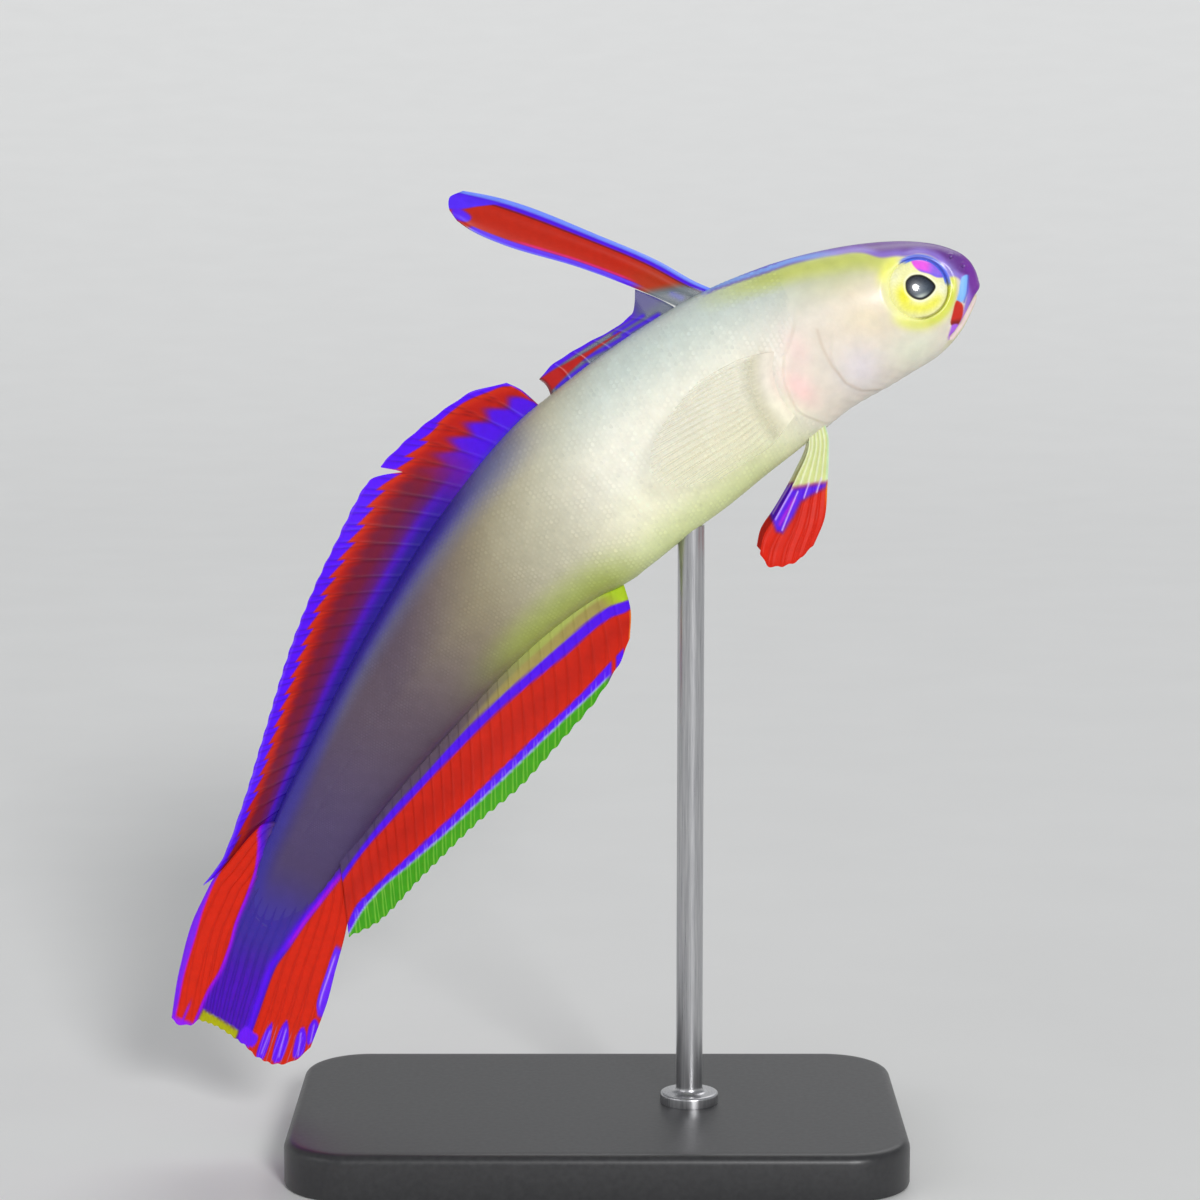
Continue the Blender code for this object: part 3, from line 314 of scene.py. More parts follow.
def body_colour(s, h):
    """Colour of skin and scales: pearl in front, darkening to plum behind and sooner along the back,
    with yellow green under the belly and on the nape, and then the marks of the head."""
    middle = ease(WIDEST, s)
    up = (h - middle) / np.where(h > middle, ease(BACK, s) - middle, middle - ease(BELLY, s))
    high, low = np.clip(up, 0, 1), np.clip(-up, 0, 1)
    nape = depth_in(STRIPE, s, h)
    gap = np.hypot(s - EYE_S, h - EYE_H)
    lip = beside(MOUTH, s, h)
    in_stripe = soft(nape, -0.12, 0.12) * soft(s, 18.6, 17.4)
    above_lip = soft(lip, 0.0, 0.1) * np.where(h > -1.5, 1.0, soft(s, 3.4, 3.1))
    above_eye = soft(h - 0.25 * (s - EYE_S), 1.1, 1.6) * soft(s - 0.3 * (h - 3), 5.3, 4.7)
    red = blot(RED_SPOT, s, h, MARK_EDGE)
    stripe = paint(
        (146, 118, 212),
        ((138, 176, 248), soft(s, 8.0, 11.0)),
        ((106, 56, 146), soft(nape, 0.2, 0.65) * soft(s, 13, 10)),
        ((96, 62, 190), 0.8 * hill(nape, 0.12) * soft(s, 9, 12)),
        ((112, 84, 206), 0.7 * soft(nape, 0.3, 0.42) * soft(s, 10, 13)),
        ((126, 40, 168), 0.8 * soft(s, 1.2, 0.2)),
        ((196, 128, 206), 0.7 * soft(h, -0.9, -1.8)),
        ((150, 150, 214), 0.6 * hill(np.hypot(s - 1.75, (h - 1.75) * 0.7), 0.4)),
    )
    return paint(
        (230, 220, 205),
        # Flank, from the gill cover to the tail.
        ((250, 246, 228), soft(s, 12, 20)),
        # Cream on the lower flank, partly painted light: it brightens the flank where it turns down and away
        # from the lamps.
        ((254, 249, 216), 0.85 * soft(s, 13, 20) * soft(low, 0.0, 0.5)),
        # Grey green over the upper flank, partly the back's own tone and partly painted shade, darker towards
        # the top.
        ((200, 212, 204), 0.85 * soft(high, 0.15, 0.9) * soft(s, 8, 15)),
        ((190, 200, 140), 0.75 * soft(high, 0.3, 0.85) * soft(s, 6.5, 8.0) * soft(s, 15, 9)),
        ((222, 232, 158), 0.9 * soft(low, 0.45, 1.0) * soft(s, 14, 22)),
        ((196, 190, 164), soft(s + 6 * high ** 2 - 2.5 * low, 29, 38)),
        ((146, 134, 106), soft(s + 7 * high ** 1.5 - 2.5 * low, 36, 46)),
        ((168, 184, 76), 0.75 * soft(low, 0.35, 0.9) * soft(s, 32, 37) * soft(s, 54, 44)),
        ((92, 76, 90), soft(s + 8 * high, 43, 56)),
        ((76, 60, 102), soft(s, 54, 67)),
        ((92, 96, 150), 0.8 * soft(high, 0.55, 0.95) * soft(s, 31, 37)),
        ((44, 30, 146), 0.9 * soft(high, 0.74 - 0.4 * soft(s, 54, 68), 0.97) * soft(s, 36, 43)),
        ((56, 40, 154), soft(s, 68.5, 74.5)),
        # Nape, cheek and gill cover.
        ((206, 214, 104), 0.85 * soft(-nape, 1.7, 0.35) * soft(s, 4.6, 6.5) * soft(s, 20, 13)),
        ((232, 216, 182), 0.7 * hill(s - 8.6, 2.2) * hill(h - 0.6, 2.2)),
        ((230, 222, 228), 0.8 * hill(s - 10.3, 1.9) * hill(h + 2.9, 1.9)),
        ((226, 232, 208), 0.7 * hill(s - 5.9, 2.0) * hill(h + 3.0, 1.5)),
        ((252, 206, 204), 0.75 * hill(s - 15.2 - 0.25 * (h + 2.4), 1.0) * hill(h + 2.4, 1.6)),
        ((250, 214, 212), 0.5 * hill(s - 14.2, 0.9) * hill(h - 0.2, 1.5)),
        # Painted shade: a darker line along the gill crease.
        ((196, 172, 148), 0.3 * hill(beside(GILL_CREASE, s, h), 0.12)),
        # Skin round the eye and jaw.
        ((244, 242, 168), 0.95 * soft(gap, 3.3, 2.4) * soft(s, 3.9, 5.4) * soft(s, 8.0, 6.2)),
        ((244, 246, 110), 0.8 * hill(gap - 2.7, 0.45) * soft(h, 1.8, 3.2) * soft(s, 5.0, 5.6)),
        ((214, 220, 62), 0.95 * soft(gap, 3.0, 2.6) * soft(s, 5.6, 3.6) * soft(h, 1.6, 1.0)),
        ((226, 230, 110), 0.7 * hill(gap - 2.6, 0.5) * soft(h, 0.2, -1.0)),
        ((226, 222, 170), 0.85 * soft(lip, 0.0, -0.1) * soft(s, 4.4, 2.4)),
        # Stripe from the snout over the crown, and the marks beside the mouth.
        (stripe, in_stripe * above_lip),
        ((134, 190, 252), blot(BLUE_STRIP, s, h, MARK_EDGE)),
        ((76, 96, 214), 0.75 * hill(beside(SNOUT_LINE, s, h), 0.08)),
        ((206, 36, 14), red),
        ((112, 16, 22), 0.85 * red * soft(h, -1.7, -2.15)),
        ((168, 96, 226), blot(VIOLET_TIP, s, h, MARK_EDGE)),
        # Lips, the eye's rim and the nostrils.
        ((244, 216, 226), 0.8 * hill(lip + 0.13, 0.09) * soft(s, 3.4, 3.0) * soft(s, 0.1, 0.6)),
        # Painted shade: a dark line in the mouth's slit, where the lips meet.
        ((92, 44, 66), 0.6 * hill(lip, 0.05) * soft(s, 3.2, 2.9)),
        ((92, 116, 236), 0.9 * soft(gap, 2.5, 2.36) * above_eye),
        ((40, 44, 150), 0.7 * hill(gap - 2.23, 0.06) * above_eye),
        # Painted shade: a dark olive line in the crease between the eye and the skin at its lower front.
        ((104, 104, 24), 0.6 * hill(gap - 2.23, 0.06) * soft(s, 5.6, 4.4) * soft(h, 1.4, 1.0)),
        # Painted shade in the nostrils' pits.
        *[((70, 34, 110), 0.5 * hill(np.hypot(s - at_s, h - at_h), 0.1)) for at_s, at_h in NOSTRILS],
    )


def squares(rows, columns, wrap):
    """Corners of a grid's squares as point numbers, and each corner's share along rows and columns."""
    i, j = np.meshgrid(np.arange(rows - 1), np.arange(columns if wrap else columns - 1), indexing="ij")
    i = np.stack((i, i, i + 1, i + 1), -1).reshape(-1, 4)
    j = np.stack((j, j + 1, j + 1, j), -1).reshape(-1, 4)
    shares = np.stack((i / (rows - 1), j / (columns if wrap else columns - 1)), -1)
    return i * columns + j % columns, shares


def solid(name, points, parts, colours=None, sharp=None):
    """Object from points in world millimetres and parts, each an array of faces with their corners' UVs."""
    mesh = bpy.data.meshes.new(name)
    mesh.vertices.add(len(points))
    mesh.vertices.foreach_set("co", (points * MM).astype(np.float32).ravel())
    corners = np.concatenate([faces.ravel() for faces, _ in parts])
    sides = np.concatenate([np.full(len(faces), faces.shape[1]) for faces, _ in parts])
    mesh.loops.add(len(corners))
    mesh.loops.foreach_set("vertex_index", corners.astype(np.int32))
    mesh.polygons.add(len(sides))
    mesh.polygons.foreach_set("loop_start", (np.cumsum(sides) - sides).astype(np.int32))
    mesh.update(calc_edges=True)
    unwrap = mesh.uv_layers.new(name="OFBake")
    places = np.concatenate([uv.reshape(-1, 2) for _, uv in parts])
    unwrap.data.foreach_set("uv", places.astype(np.float32).ravel())
    if colours is not None:
        layer = mesh.attributes.new("tint", "FLOAT_COLOR", "POINT")
        layer.data.foreach_set("color", colours.astype(np.float32).ravel())
    mesh.shade_smooth()
    if sharp is not None:
        mesh.set_sharp_from_angle(angle=np.radians(sharp))
    mesh.validate()
    made = bpy.data.objects.new(name, mesh)
    bpy.context.scene.collection.objects.link(made)
    return made


def closed(name, rings, ends, colours=None, sharp=None, order=1):
    """Closed form of rings of points, each end closed by a fan round its end point; an order of -1 turns
    the faces over, for rings that run the other way round."""
    rows, columns = rings.shape[:2]
    grid, shares = squares(rows, columns, True)
    count = rows * columns
    here = np.arange(columns)
    pairs = np.stack(((here + 1) % columns, here), -1)[:, ::order]
    front = np.column_stack((np.full(columns, count), pairs))
    rear = np.column_stack((np.full(columns, count + 1), count - columns + pairs[:, ::-1]))
    fan_uv = np.stack((np.zeros(3 * columns), np.repeat(here / columns, 3)), -1)
    parts = ((grid[:, ::order], shares[:, ::order]), (front, fan_uv), (rear, fan_uv + (1.0, 0.0)))
    return solid(name, np.concatenate((rings.reshape(-1, 3), ends)), parts, colours, sharp)


def feed(node, inputs):
    """Fills inputs by name: a socket of another node is linked to it, and any other value is set on it."""
    for name, value in inputs.items():
        if isinstance(value, bpy.types.NodeSocket):
            node.id_data.links.new(value, node.inputs[name])
        else:
            node.inputs[name].default_value = value


def add_node(tree, kind, output, inputs, **settings):
    """New node with its settings and inputs; returns the output of this name."""
    node = tree.nodes.new("ShaderNode" + kind)
    for name, value in settings.items():
        setattr(node, name, value)
    feed(node, inputs)
    return node.outputs[output]


def living(name, rough, mottle, grain, height, shine, coat, coat_rough, scatter=0.0, clear=False):
    """Material coloured by the tint attribute and mottled by noise, with grain in its roughness and bump."""
    made = bpy.data.materials.new(name)
    made.use_nodes = True
    tree = made.node_tree
    spot = add_node(tree, "TexCoord", "Object", {})
    tinted = add_node(tree, "Attribute", "Color", {}, attribute_name="tint")
    cloud = add_node(tree, "TexNoise", "Fac", {"Vector": spot, "Scale": mottle, "Detail": 4.0})
    fine = add_node(tree, "TexNoise", "Fac", {"Vector": spot, "Scale": grain, "Detail": 3.0})
    shade = add_node(tree, "MapRange", "Result", {"Value": cloud, "To Min": 0.84, "To Max": 1.12})
    mottled = add_node(tree, "Mix", "Result", {"Factor": 1.0, "A": tinted, "B": shade},
                       data_type="RGBA", blend_type="MULTIPLY")
    gloss = add_node(tree, "MapRange", "Result",
                     {"Value": fine, "To Min": rough - 0.1, "To Max": rough + 0.1})
    bump = add_node(tree, "Bump", "Normal", {"Height": fine, "Strength": 0.6, "Distance": height * MM})
    shader = tree.nodes["Principled BSDF"]
    feed(shader, {"Base Color": mottled, "Roughness": gloss, "Normal": bump, "Specular IOR Level": shine,
                  "Coat Weight": coat, "Coat Roughness": coat_rough, "Subsurface Weight": scatter,
                  "Subsurface Radius": (1.0, 0.6, 0.4), "Subsurface Scale": 0.5 * MM})
    if clear:
        feed(shader, {"Alpha": tinted.node.outputs["Alpha"]})
    return made


def even_turns():
    """Angle from the back at each share of the way round, read where the fish is deepest."""
    angle = np.linspace(0, 360, 1441)
    ring = np.stack(flesh(np.full(len(angle), DEEPEST_S), angle), -1)
    way = np.concatenate(([0.0], np.cumsum(np.linalg.norm(np.diff(ring, axis=0), axis=1))))
    return way / way[-1], angle


TURNS = even_turns()


def row_stations():
    """Places of the skin's rows: the step between them grows from the snout to the tail."""
    s = np.linspace(-0.197, 74.39, 20000)
    step = np.interp(s, *ROW_STEPS.T)
    count = np.concatenate(([0.0], np.cumsum(np.diff(s) / step[1:])))
    return np.interp(np.arange(int(count[-1])) / int(count[-1] - 1) * count[-1], count, s)


turns = np.interp(np.arange(SKIN_COLUMNS) / SKIN_COLUMNS, *TURNS)
rings, _, s, h = skin_at(*np.broadcast_arrays(row_stations()[:, None], turns[None, :]))
colours = body_colour(s, h).reshape(-1, 3)
end_colours = body_colour(SKIN_ENDS[:, 0] + (0.05, -0.2), SKIN_ENDS[:, 1])
skin = closed("skin", rings, place(*SKIN_ENDS.T), tint(np.concatenate((colours, end_colours))))
skin.data.materials.append(living("moist skin", rough=0.38, mottle=900.0, grain=5200.0, height=0.012,
                                  shine=0.35, coat=0.2, coat_rough=0.16, scatter=0.25))
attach(skin, "root")
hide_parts("head", "lower_jaw", "trunk", "tail_stalk")

# The eyes, two clear domes set in the head, leaning a little forwards and up.
# A clear cornea covers a pale yellow iris with a magenta and blue patch over a pupil that comes to a
# point in front. Each is a flattened ball whose rim lies under the skin's.
PUPIL = ((4.57, 2.12), (3.95, 1.93), (3.45, 1.42), (3.24, 0.9), (3.5, 0.56), (4.05, 0.3), (4.6, 0.28),
         (5.1, 0.6), (5.38, 1.15), (5.28, 1.75), (5.0, 2.02))
MAGENTA = ((4.33, 3.22), (3.8, 3.2), (3.2, 2.92), (2.7, 2.45), (2.36, 1.95), (2.3, 1.3), (2.9, 1.4),
           (3.42, 1.85), (4.0, 2.22), (4.32, 2.72))
MAGENTA_EDGE = ((2.4, 1.25), (3.4, 1.85), (4.1, 2.3))
LIGHT_BLUE = ((3.5, 3.42), (4.1, 3.58), (4.8, 3.62), (5.15, 3.4), (4.7, 3.2), (4.3, 3.28), (3.8, 3.25))
PUPIL_S = 4.35
PUPIL_H = 1.18
FIBRES = 46
EYE_COLUMNS = 224
EYE_RINGS = np.concatenate((np.linspace(0.012, 1.32, 96), np.linspace(1.4, 3.05, 14)))
PICTURE_SHIFT = (0.03, -0.09)


def eye_colour(s, h):
    """Colours of the iris and pupil in s and h, in rings round the pupil and blots on its upper front."""
    ring = np.hypot(s - EYE_S, h - EYE_H)
    round_pupil = np.hypot(s - PUPIL_S, h - PUPIL_H)
    fibres = np.cos(FIBRES * np.arctan2(h - PUPIL_H, s - PUPIL_S) + 3 * np.sin(9 * round_pupil))
    above = soft(h - 0.25 * (s - EYE_S), 1.1, 1.5) * soft(s - 0.3 * (h - 3), 5.1, 4.5)
    pupil = blot(PUPIL, s, h, 0.1)
    edge = np.abs(beside(np.concatenate((rounded(PUPIL), PUPIL[:1])), s, h))
    violet = paint(
        (246, 96, 240),
        ((158, 112, 248), soft(s + 0.5 * h, 4.75, 3.9)),
        ((92, 132, 250), soft(ring, 1.98, 2.16)),
        ((126, 108, 240), 0.8 * hill(beside(MAGENTA_EDGE, s, h), 0.13)),
    )
    # The pupil: black, with a painted reflection (a grey patch in its middle and a pale crescent low in it),
    # and darker towards its edge.
    pupil_with_painted_reflection = paint(
        (12, 20, 36),
        ((92, 104, 116), 0.9 * hill(s - PUPIL_S, 0.8) * hill(h - 0.95, 0.6)),
        ((206, 214, 200), 0.85 * hill(s - 4.45, 0.5) * hill(h - 0.52 - 0.25 * (s - EYE_S) ** 2, 0.17)),
        ((6, 6, 10), soft(edge, 0.2, 0.08)),
    )
    return paint(
        (252, 250, 186),
        ((250, 244, 48), 0.95 * hill(s - 5.7, 0.5) * hill(h - 0.9, 0.95)),
        ((248, 244, 76), 0.85 * hill(round_pupil - 1.55, 0.4) * soft(h, 0.6, -0.2)),
        ((255, 255, 232), 0.8 * hill(s - 2.75, 0.5) * hill(h - 0.55, 0.6)),
        ((255, 255, 216), 0.8 * hill(s - 5.9, 0.5) * hill(h - 2.4, 0.7)),
        ((222, 214, 96), 0.12 * (0.5 + 0.5 * fibres) * soft(round_pupil, 1.0, 1.3)),
        (violet, blot(MAGENTA, s, h, 0.12)),
        ((128, 186, 252), blot(LIGHT_BLUE, s, h, 0.14)),
        ((86, 122, 246), soft(ring, 1.9, 1.98) * above),
        ((40, 50, 160), 0.8 * soft(ring, 2.1, 2.18) * above),
        # Painted shade: a dark olive edge low at the eye's front, where it meets the skin's crease.
        ((150, 146, 60), 0.6 * soft(ring, 2.1, 2.2) * soft(h, 1.2, 0.8) * soft(s, 5.6, 4.6)),
        ((255, 255, 240), 0.55 * hill(edge - 0.1, 0.08) * (1 - pupil)),
        (pupil_with_painted_reflection, pupil),
    )


def eyeball(name, side):
    """A ball flattened along its axis: centre + depth cos(a) outwards + radius sin(a) round about."""
    centre, out, forward, up = eye_frame(side)
    a = EYE_RINGS[:, None, None]
    b = np.linspace(0, 2 * np.pi, EYE_COLUMNS, endpoint=False)[None, :, None]
    around = forward * np.cos(b) + up * np.sin(b) * side
    rings = centre + EYE_HALF_DEPTH * np.cos(a) * out + EYE_RADIUS * np.sin(a) * around
    ends = np.stack((centre + out * EYE_HALF_DEPTH, centre - out * EYE_HALF_DEPTH))
    fall = np.radians(np.interp(EYE_S, AXIS_S, AXIS_FALL))
    offset = np.concatenate((rings.reshape(-1, 3), ends)) - place(EYE_S, EYE_H, 0.0)
    s = EYE_S + offset @ np.array((-np.cos(fall), 0.0, -np.sin(fall))) + PICTURE_SHIFT[0]
    h = EYE_H + offset @ np.array((-np.sin(fall), 0.0, np.cos(fall))) + PICTURE_SHIFT[1]
    return closed(name, rings, ends, tint(eye_colour(s, h)), order=-1)


wet_eye = living("clear cornea over the iris", rough=0.3, mottle=2600.0, grain=9000.0, height=0.006,
                 shine=0.3, coat=0.6, coat_rough=0.03)
for side, word in ((-1, "right"), (1, "left")):
    eye = eyeball("eyeball_" + word, side)
    eye.data.materials.append(wet_eye)
    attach(eye, "root")
    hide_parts("eye_" + word)

# The scales, small thin shields in rows over the body behind the gill cover.
# Clear horn over pearly skin, each lying over the one behind it, with its root in the skin.
# Every scale is a closed shield of 14 triangles, and each side of the fish is one joined piece.
SCALE_COLUMNS = 88
SCALE_SHAPE = np.array(((-0.6, -0.5), (0.15, -0.98), (0.72, -0.72), (1.0, 0.0), (0.72, 0.72), (0.15, 0.98),
                        (-0.6, 0.5), (0.25, 0.0), (0.1, 0.0)))
SCALE_RISE = np.array((-0.035, -0.003, 0.011, 0.014, 0.011, -0.003, -0.035, 0.009, -0.045))
# Painted shade and light on each scale: darker at its front, which tucks under the scale ahead, and a touch
# lighter along its raised rear edge.
SCALE_PAINTED_SHADE = np.array((0.96, 0.99, 1.01, 1.01, 1.01, 0.99, 0.96, 1.0, 0.96))
SCALES_FROM = 12.6
SCALES_TO = 71.6


def girth(s):
    """Way round the body at s, as an ellipse's: pi times half its width plus half its height."""
    return np.pi * (ease(HALF_WIDTH, s) + 0.5 * (ease(BACK, s) - ease(BELLY, s)))


def scale_places():
    """Roots of the scales: rows as far apart as the scales are wide, every second one shifted by half."""
    s = [SCALES_FROM]
    while s[-1] < SCALES_TO:
        s.append(float(s[-1] + max(0.9 * girth(s[-1]) / SCALE_COLUMNS, 0.16)))
    s = np.array(s)
    share = (np.arange(SCALE_COLUMNS)[None, :] + 0.5 * (np.arange(len(s)) % 2)[:, None]) / SCALE_COLUMNS
    turn = np.interp(share % 1.0, *TURNS)
    s = np.broadcast_to(s[:, None], turn.shape)
    behind = s > ease(GILL_EDGE, 180 - np.abs(180 - turn)) + 0.3
    return s[behind], turn[behind], share[behind] % 1.0


def scales(name, s, turn, share):
    """Joined shields: an outline and a top and bottom middle for each root, laid on the skin's surface.
    Each one's unwrap is a small patch at its root's place on the skin's."""
    half = (girth(s) / SCALE_COLUMNS / 2)[:, None]
    per_turn = place(*flesh(s, turn + 0.5)) - place(*flesh(s, turn - 0.5))
    per_turn = np.linalg.norm(per_turn, axis=1)[:, None]
    size = np.random.default_rng(4).uniform(0.92, 1.08, (len(s), 1))
    at_s = s[:, None] + SCALE_SHAPE[:, 0] * half * 1.5 * size
    at_turn = turn[:, None] + SCALE_SHAPE[:, 1] * half * 0.98 * size / per_turn
    points, out, _, _ = skin_at(np.minimum(at_s, 74.3), at_turn)
    points = points + out * (SCALE_RISE * soft(s, 73, 65)[:, None])[..., None]
    colour = body_colour(s, flesh(s, turn)[1])[:, None, :]
    vary = np.random.default_rng(9).normal(1.0, 0.012, (len(s), 1, 1))
    # Each scale's painted shade and light, with a small random tone.
    colour = tint(np.clip(colour * SCALE_PAINTED_SHADE[None, :, None] * vary, 0, 255))
    corners = len(SCALE_SHAPE)
    around = np.arange(corners - 2)
    onward = (around + 1) % (corners - 2)
    top = np.stack((np.full(corners - 2, corners - 2), around, onward), -1)
    bottom = np.stack((np.full(corners - 2, corners - 1), onward, around), -1)
    first = np.arange(len(s))[:, None, None] * corners
    faces = (first + np.concatenate((top, bottom))[None]).reshape(-1, 3)
    root = np.stack((0.004 + 0.992 * (s - 12) / 60, 0.004 + 0.992 * share), -1)
    spots = (root[:, None] + SCALE_SHAPE[None] * 0.0015).reshape(-1, 2)
    return solid(name, points.reshape(-1, 3), ((faces, spots[faces]),), colour.reshape(-1, 4), 50)


horn = living("pearly scales", rough=0.42, mottle=1400.0, grain=7000.0, height=0.006, shine=0.32, coat=0.12,
              coat_rough=0.3, scatter=0.15)
s, turn, share = scale_places()
for word, own in (("left", turn < 180), ("right", turn >= 180)):
    coat = scales("scales_" + word, s[own], turn[own], share[own])
    coat.data.materials.append(horn)
    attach(coat, "root")

# The second dorsal fin, one spine and 29 soft rays that lean back more and more.
# Thin web between bony rays that fork in two, red with a violet base and a saw-toothed violet margin.
# A sheet stretched between its four edges gets a ridge along each ray on both faces.
D2_TOP = ((31.5, 7.3), (32.15, 9.49), (33.6, 10.45), (35.55, 11.33), (38.85, 11.75), (42.25, 11.78),
          (46.35, 10.94), (51.15, 9.87), (56.55, 8.23), (60.8, 6.97), (66.2, 5.57), (71.1, 4.95),
          (73.7, 5.34))
FIN_SINK = 0.45


def along_line(line, t, knots=None):
    """Points at shares t of a smooth line through points, each coordinate eased over its length."""
    line = np.array(line, float)
    if knots is None:
        steps = np.linalg.norm(np.diff(line, axis=0), axis=1)
        knots = np.concatenate(([0.0], np.cumsum(steps))) / steps.sum()
    return np.stack([ease(np.stack((knots, line[:, i]), -1), t) for i in range(2)], -1)


def stretched(root, front, rear, margin, rays, per_ray, rows, scallop, slit=None):
    """Sheet of a fin as arrays: its shares c and t, ray number x, and places s and h.

    c runs from the front edge to the rear one, and t from the root to the margin. t stops a little short
    between rays, and far short at a slit, which has a place, a depth and a width on both sides in ray
    spacings. The sheet is a Coons patch: both pairs of opposite edges blended, less the corners. Front and
    rear start at the root's ends, and the margin's points, each with its share c, lie between their far
    ends."""
    c = np.linspace(0, 1, (rays - 1) * per_ray + 1)[:, None]
    t = np.linspace(0, 1, rows)[None, :]
    x = c * (rays - 1)
    short = scallop * np.sin(np.pi * x) ** 2
    if slit is not None:
        at, depth, before, behind = slit
        gap = x - at
        short = short + depth * np.clip(1 - np.where(gap < 0, -gap / before, gap / behind), 0, 1) ** 2
    c, t, x = np.broadcast_arrays(c, t * (1 - short * t ** 2), x)
    front, rear = (root[0], *front), (root[-1], *rear)
    margin = ((0.0, *front[-1]), *margin, (1.0, *rear[-1]))
    shares = [point[0] for point in margin]
    edge = [point[1:] for point in margin]
    along, outward = c[..., None], t[..., None]
    corners = (1 - along) * ((1 - outward) * np.array(front[0]) + outward * np.array(front[-1]))
    corners = corners + along * ((1 - outward) * np.array(rear[0]) + outward * np.array(rear[-1]))
    patch = (1 - outward) * along_line(root, c) + outward * along_line(edge, c, shares)
    patch = patch + (1 - along) * along_line(front, t) + along * along_line(rear, t) - corners
    return c, t, x, patch[..., 0], patch[..., 1]


def ray_crest(middle, x, rays, width, fork=0.2):
    """1 on a ray and 0 between: a bell of the distance to the nearest ray, which forks past half way."""
    spacing = np.linalg.norm(np.gradient(middle, axis=0), axis=-1) * (len(middle) - 1) / (rays - 1)
    t = np.linspace(0, 1, middle.shape[1])[None, :]
    gap = np.abs(x - np.round(x))
    gap = np.abs(gap - fork * soft(t, 0.45, 1.0)) * spacing
    return hill(gap, width * (1 - 0.35 * t))


def fin(name, middle, half, colours, node, material):
    """Closed sheet in place of a node: its middle in world millimetres, moved both ways along its normal
    by half its thickness."""
    across, out = half.shape
    normal = np.cross(np.gradient(middle, axis=0), np.gradient(middle, axis=1))
    normal /= np.maximum(np.linalg.norm(normal, axis=2), 1e-9)[..., None]
    points = np.concatenate(((middle + normal * half[..., None]).reshape(-1, 3),
                             (middle - normal * half[..., None]).reshape(-1, 3)))
    grid, shares = squares(across, out, False)
    count = across * out
    near = grid[:, ::-1]
    far = grid + count
    shares = shares * (0.96, 0.47) + (0.02, 0.01)
    i, j = np.arange(across), np.arange(out)
    rim = np.concatenate((i * out, (across - 1) * out + j[1:], i[-2::-1] * out + out - 1, j[-2:0:-1]))
    there = np.roll(rim, -1)
    edge = np.stack((rim, rim + count, there + count, there), -1)
    edge_uv = np.tile(((0.005, 0.985), (0.005, 0.995), (0.015, 0.995), (0.015, 0.985)), (len(edge), 1))
    parts = ((near, shares[:, ::-1]), (far, shares + (0.0, 0.5)), (edge, edge_uv))
    piece = solid(name, points, parts, np.concatenate((colours.reshape(-1, 4),) * 2), 60)
    piece.data.materials.append(material)
    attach(piece, "root")
    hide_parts(node)


def fin_half(t, crest, web=0.045, ridge=0.075, root=0.12):
    """Half thickness: the web, plus the rays' ridges thinning outwards, plus a thick foot at the root."""
    return (web + ridge * crest * (1 - 0.55 * t) + root * (1 - t) ** 5) * (1 - 0.5 * soft(t, 0.96, 1.0))


def foot_line(profile, start, end, sink, count=9):
    """Points along the back or belly from start to end, moved by sink so that they lie just inside it."""
    return [(s, float(ease(profile, s)) + sink) for s in np.linspace(start, end, count)]


def second_dorsal_colour(s, h, x, crest):
    """Bands by height between the fin's foot and its top: blue violet, purple, maroon, red, and a violet
    margin whose lower edge drops as a saw tooth at each ray."""
    foot = ease(BACK, s)
    top = ease(D2_TOP, s)
    up = (h - foot) / np.maximum(top - foot, 0.4)
    down = top - h
    tooth = 1 - (x + 0.15) % 1.0
    size = soft(s, 36.5, 39.5) * np.interp(s, (40, 66, 72), (0.6, 0.34, 0.1))
    band = np.interp(s, (32, 35, 38, 42, 50, 58, 66, 72), (0.25, 0.6, 0.85, 0.95, 0.78, 0.6, 0.42, 0.3))
    wave = np.cos(2 * np.pi * x)
    edge = band + size * tooth
    return paint(
        (182, 22, 8),
        ((110, 12, 50), soft(up + 0.03 * wave, 0.74, 0.52) * soft(s, 37, 42)),
        ((90, 10, 104), 0.9 * soft(up, 0.46, 0.28) * soft(s, 37, 42)),
        ((74, 2, 186), soft(up, 0.3, 0.17) * soft(s, 37, 42)),
        ((78, 2, 226), soft(up + 0.08 * wave, 0.62, 0.36) * soft(s, 41.5, 36.5)),
        ((34, 18, 136), 0.9 * soft(up, 0.2, 0.06) * soft(s, 38, 44)),
        ((66, 50, 200), 0.7 * soft(up, 0.12, 0.0) * soft(s, 42, 36)),
        ((208, 46, 10), 0.8 * soft(down, edge + 0.75, edge + 0.1) * soft(s, 66, 60)),
        ((80, 0, 246), soft(down, edge + 0.08, edge - 0.08)),
        ((132, 116, 250), 0.5 * hill(down - 0.06, 0.08)),
        ((60, 10, 30), 0.5 * soft(s, 67, 72) * soft(down, 0.2, 0.5)),
        ((46, 4, 40), 0.22 * crest * soft(up, 0.1, 0.3)),
    )


WEB_FINISH = dict(rough=0.42, mottle=1500.0, grain=8000.0, height=0.008, shine=0.18, coat=0.06,
                  coat_rough=0.15)
web = living("wet fin web", scatter=0.2, **WEB_FINISH)
RAYS = 30
root = foot_line(BACK, 31.5, 67.5, -FIN_SINK)
front = ((31.75, 8.4), (32.2, 9.6))
rear = ((70.0, 3.5), (72.0, 4.45), (73.7, 5.34))
margin = ((0.04, 34.7, 10.95), (0.19, 42.0, 11.75), (0.35, 48.2, 10.5), (0.51, 54.3, 9.0), (0.75, 62.6, 6.55),
          (0.88, 67.2, 5.45), (0.95, 71.2, 4.95))
c, t, x, s, h = stretched(root, front, rear, margin, RAYS, per_ray=12, rows=56,
                          scallop=0.012, slit=(5.7, 0.3, 0.14, 0.7))
sway = 0.5 * np.sin(4 * np.pi * c) * t ** 1.5 + 0.3 * soft(c, 0.86, 0.97)
middle = place(s, h, sway)
crest = ray_crest(middle, x, RAYS, width=0.1)
colours = tint(second_dorsal_colour(s, h, x, crest))
fin("second_dorsal_web", middle, fin_half(t, crest), colours, "second_dorsal_fin", web)

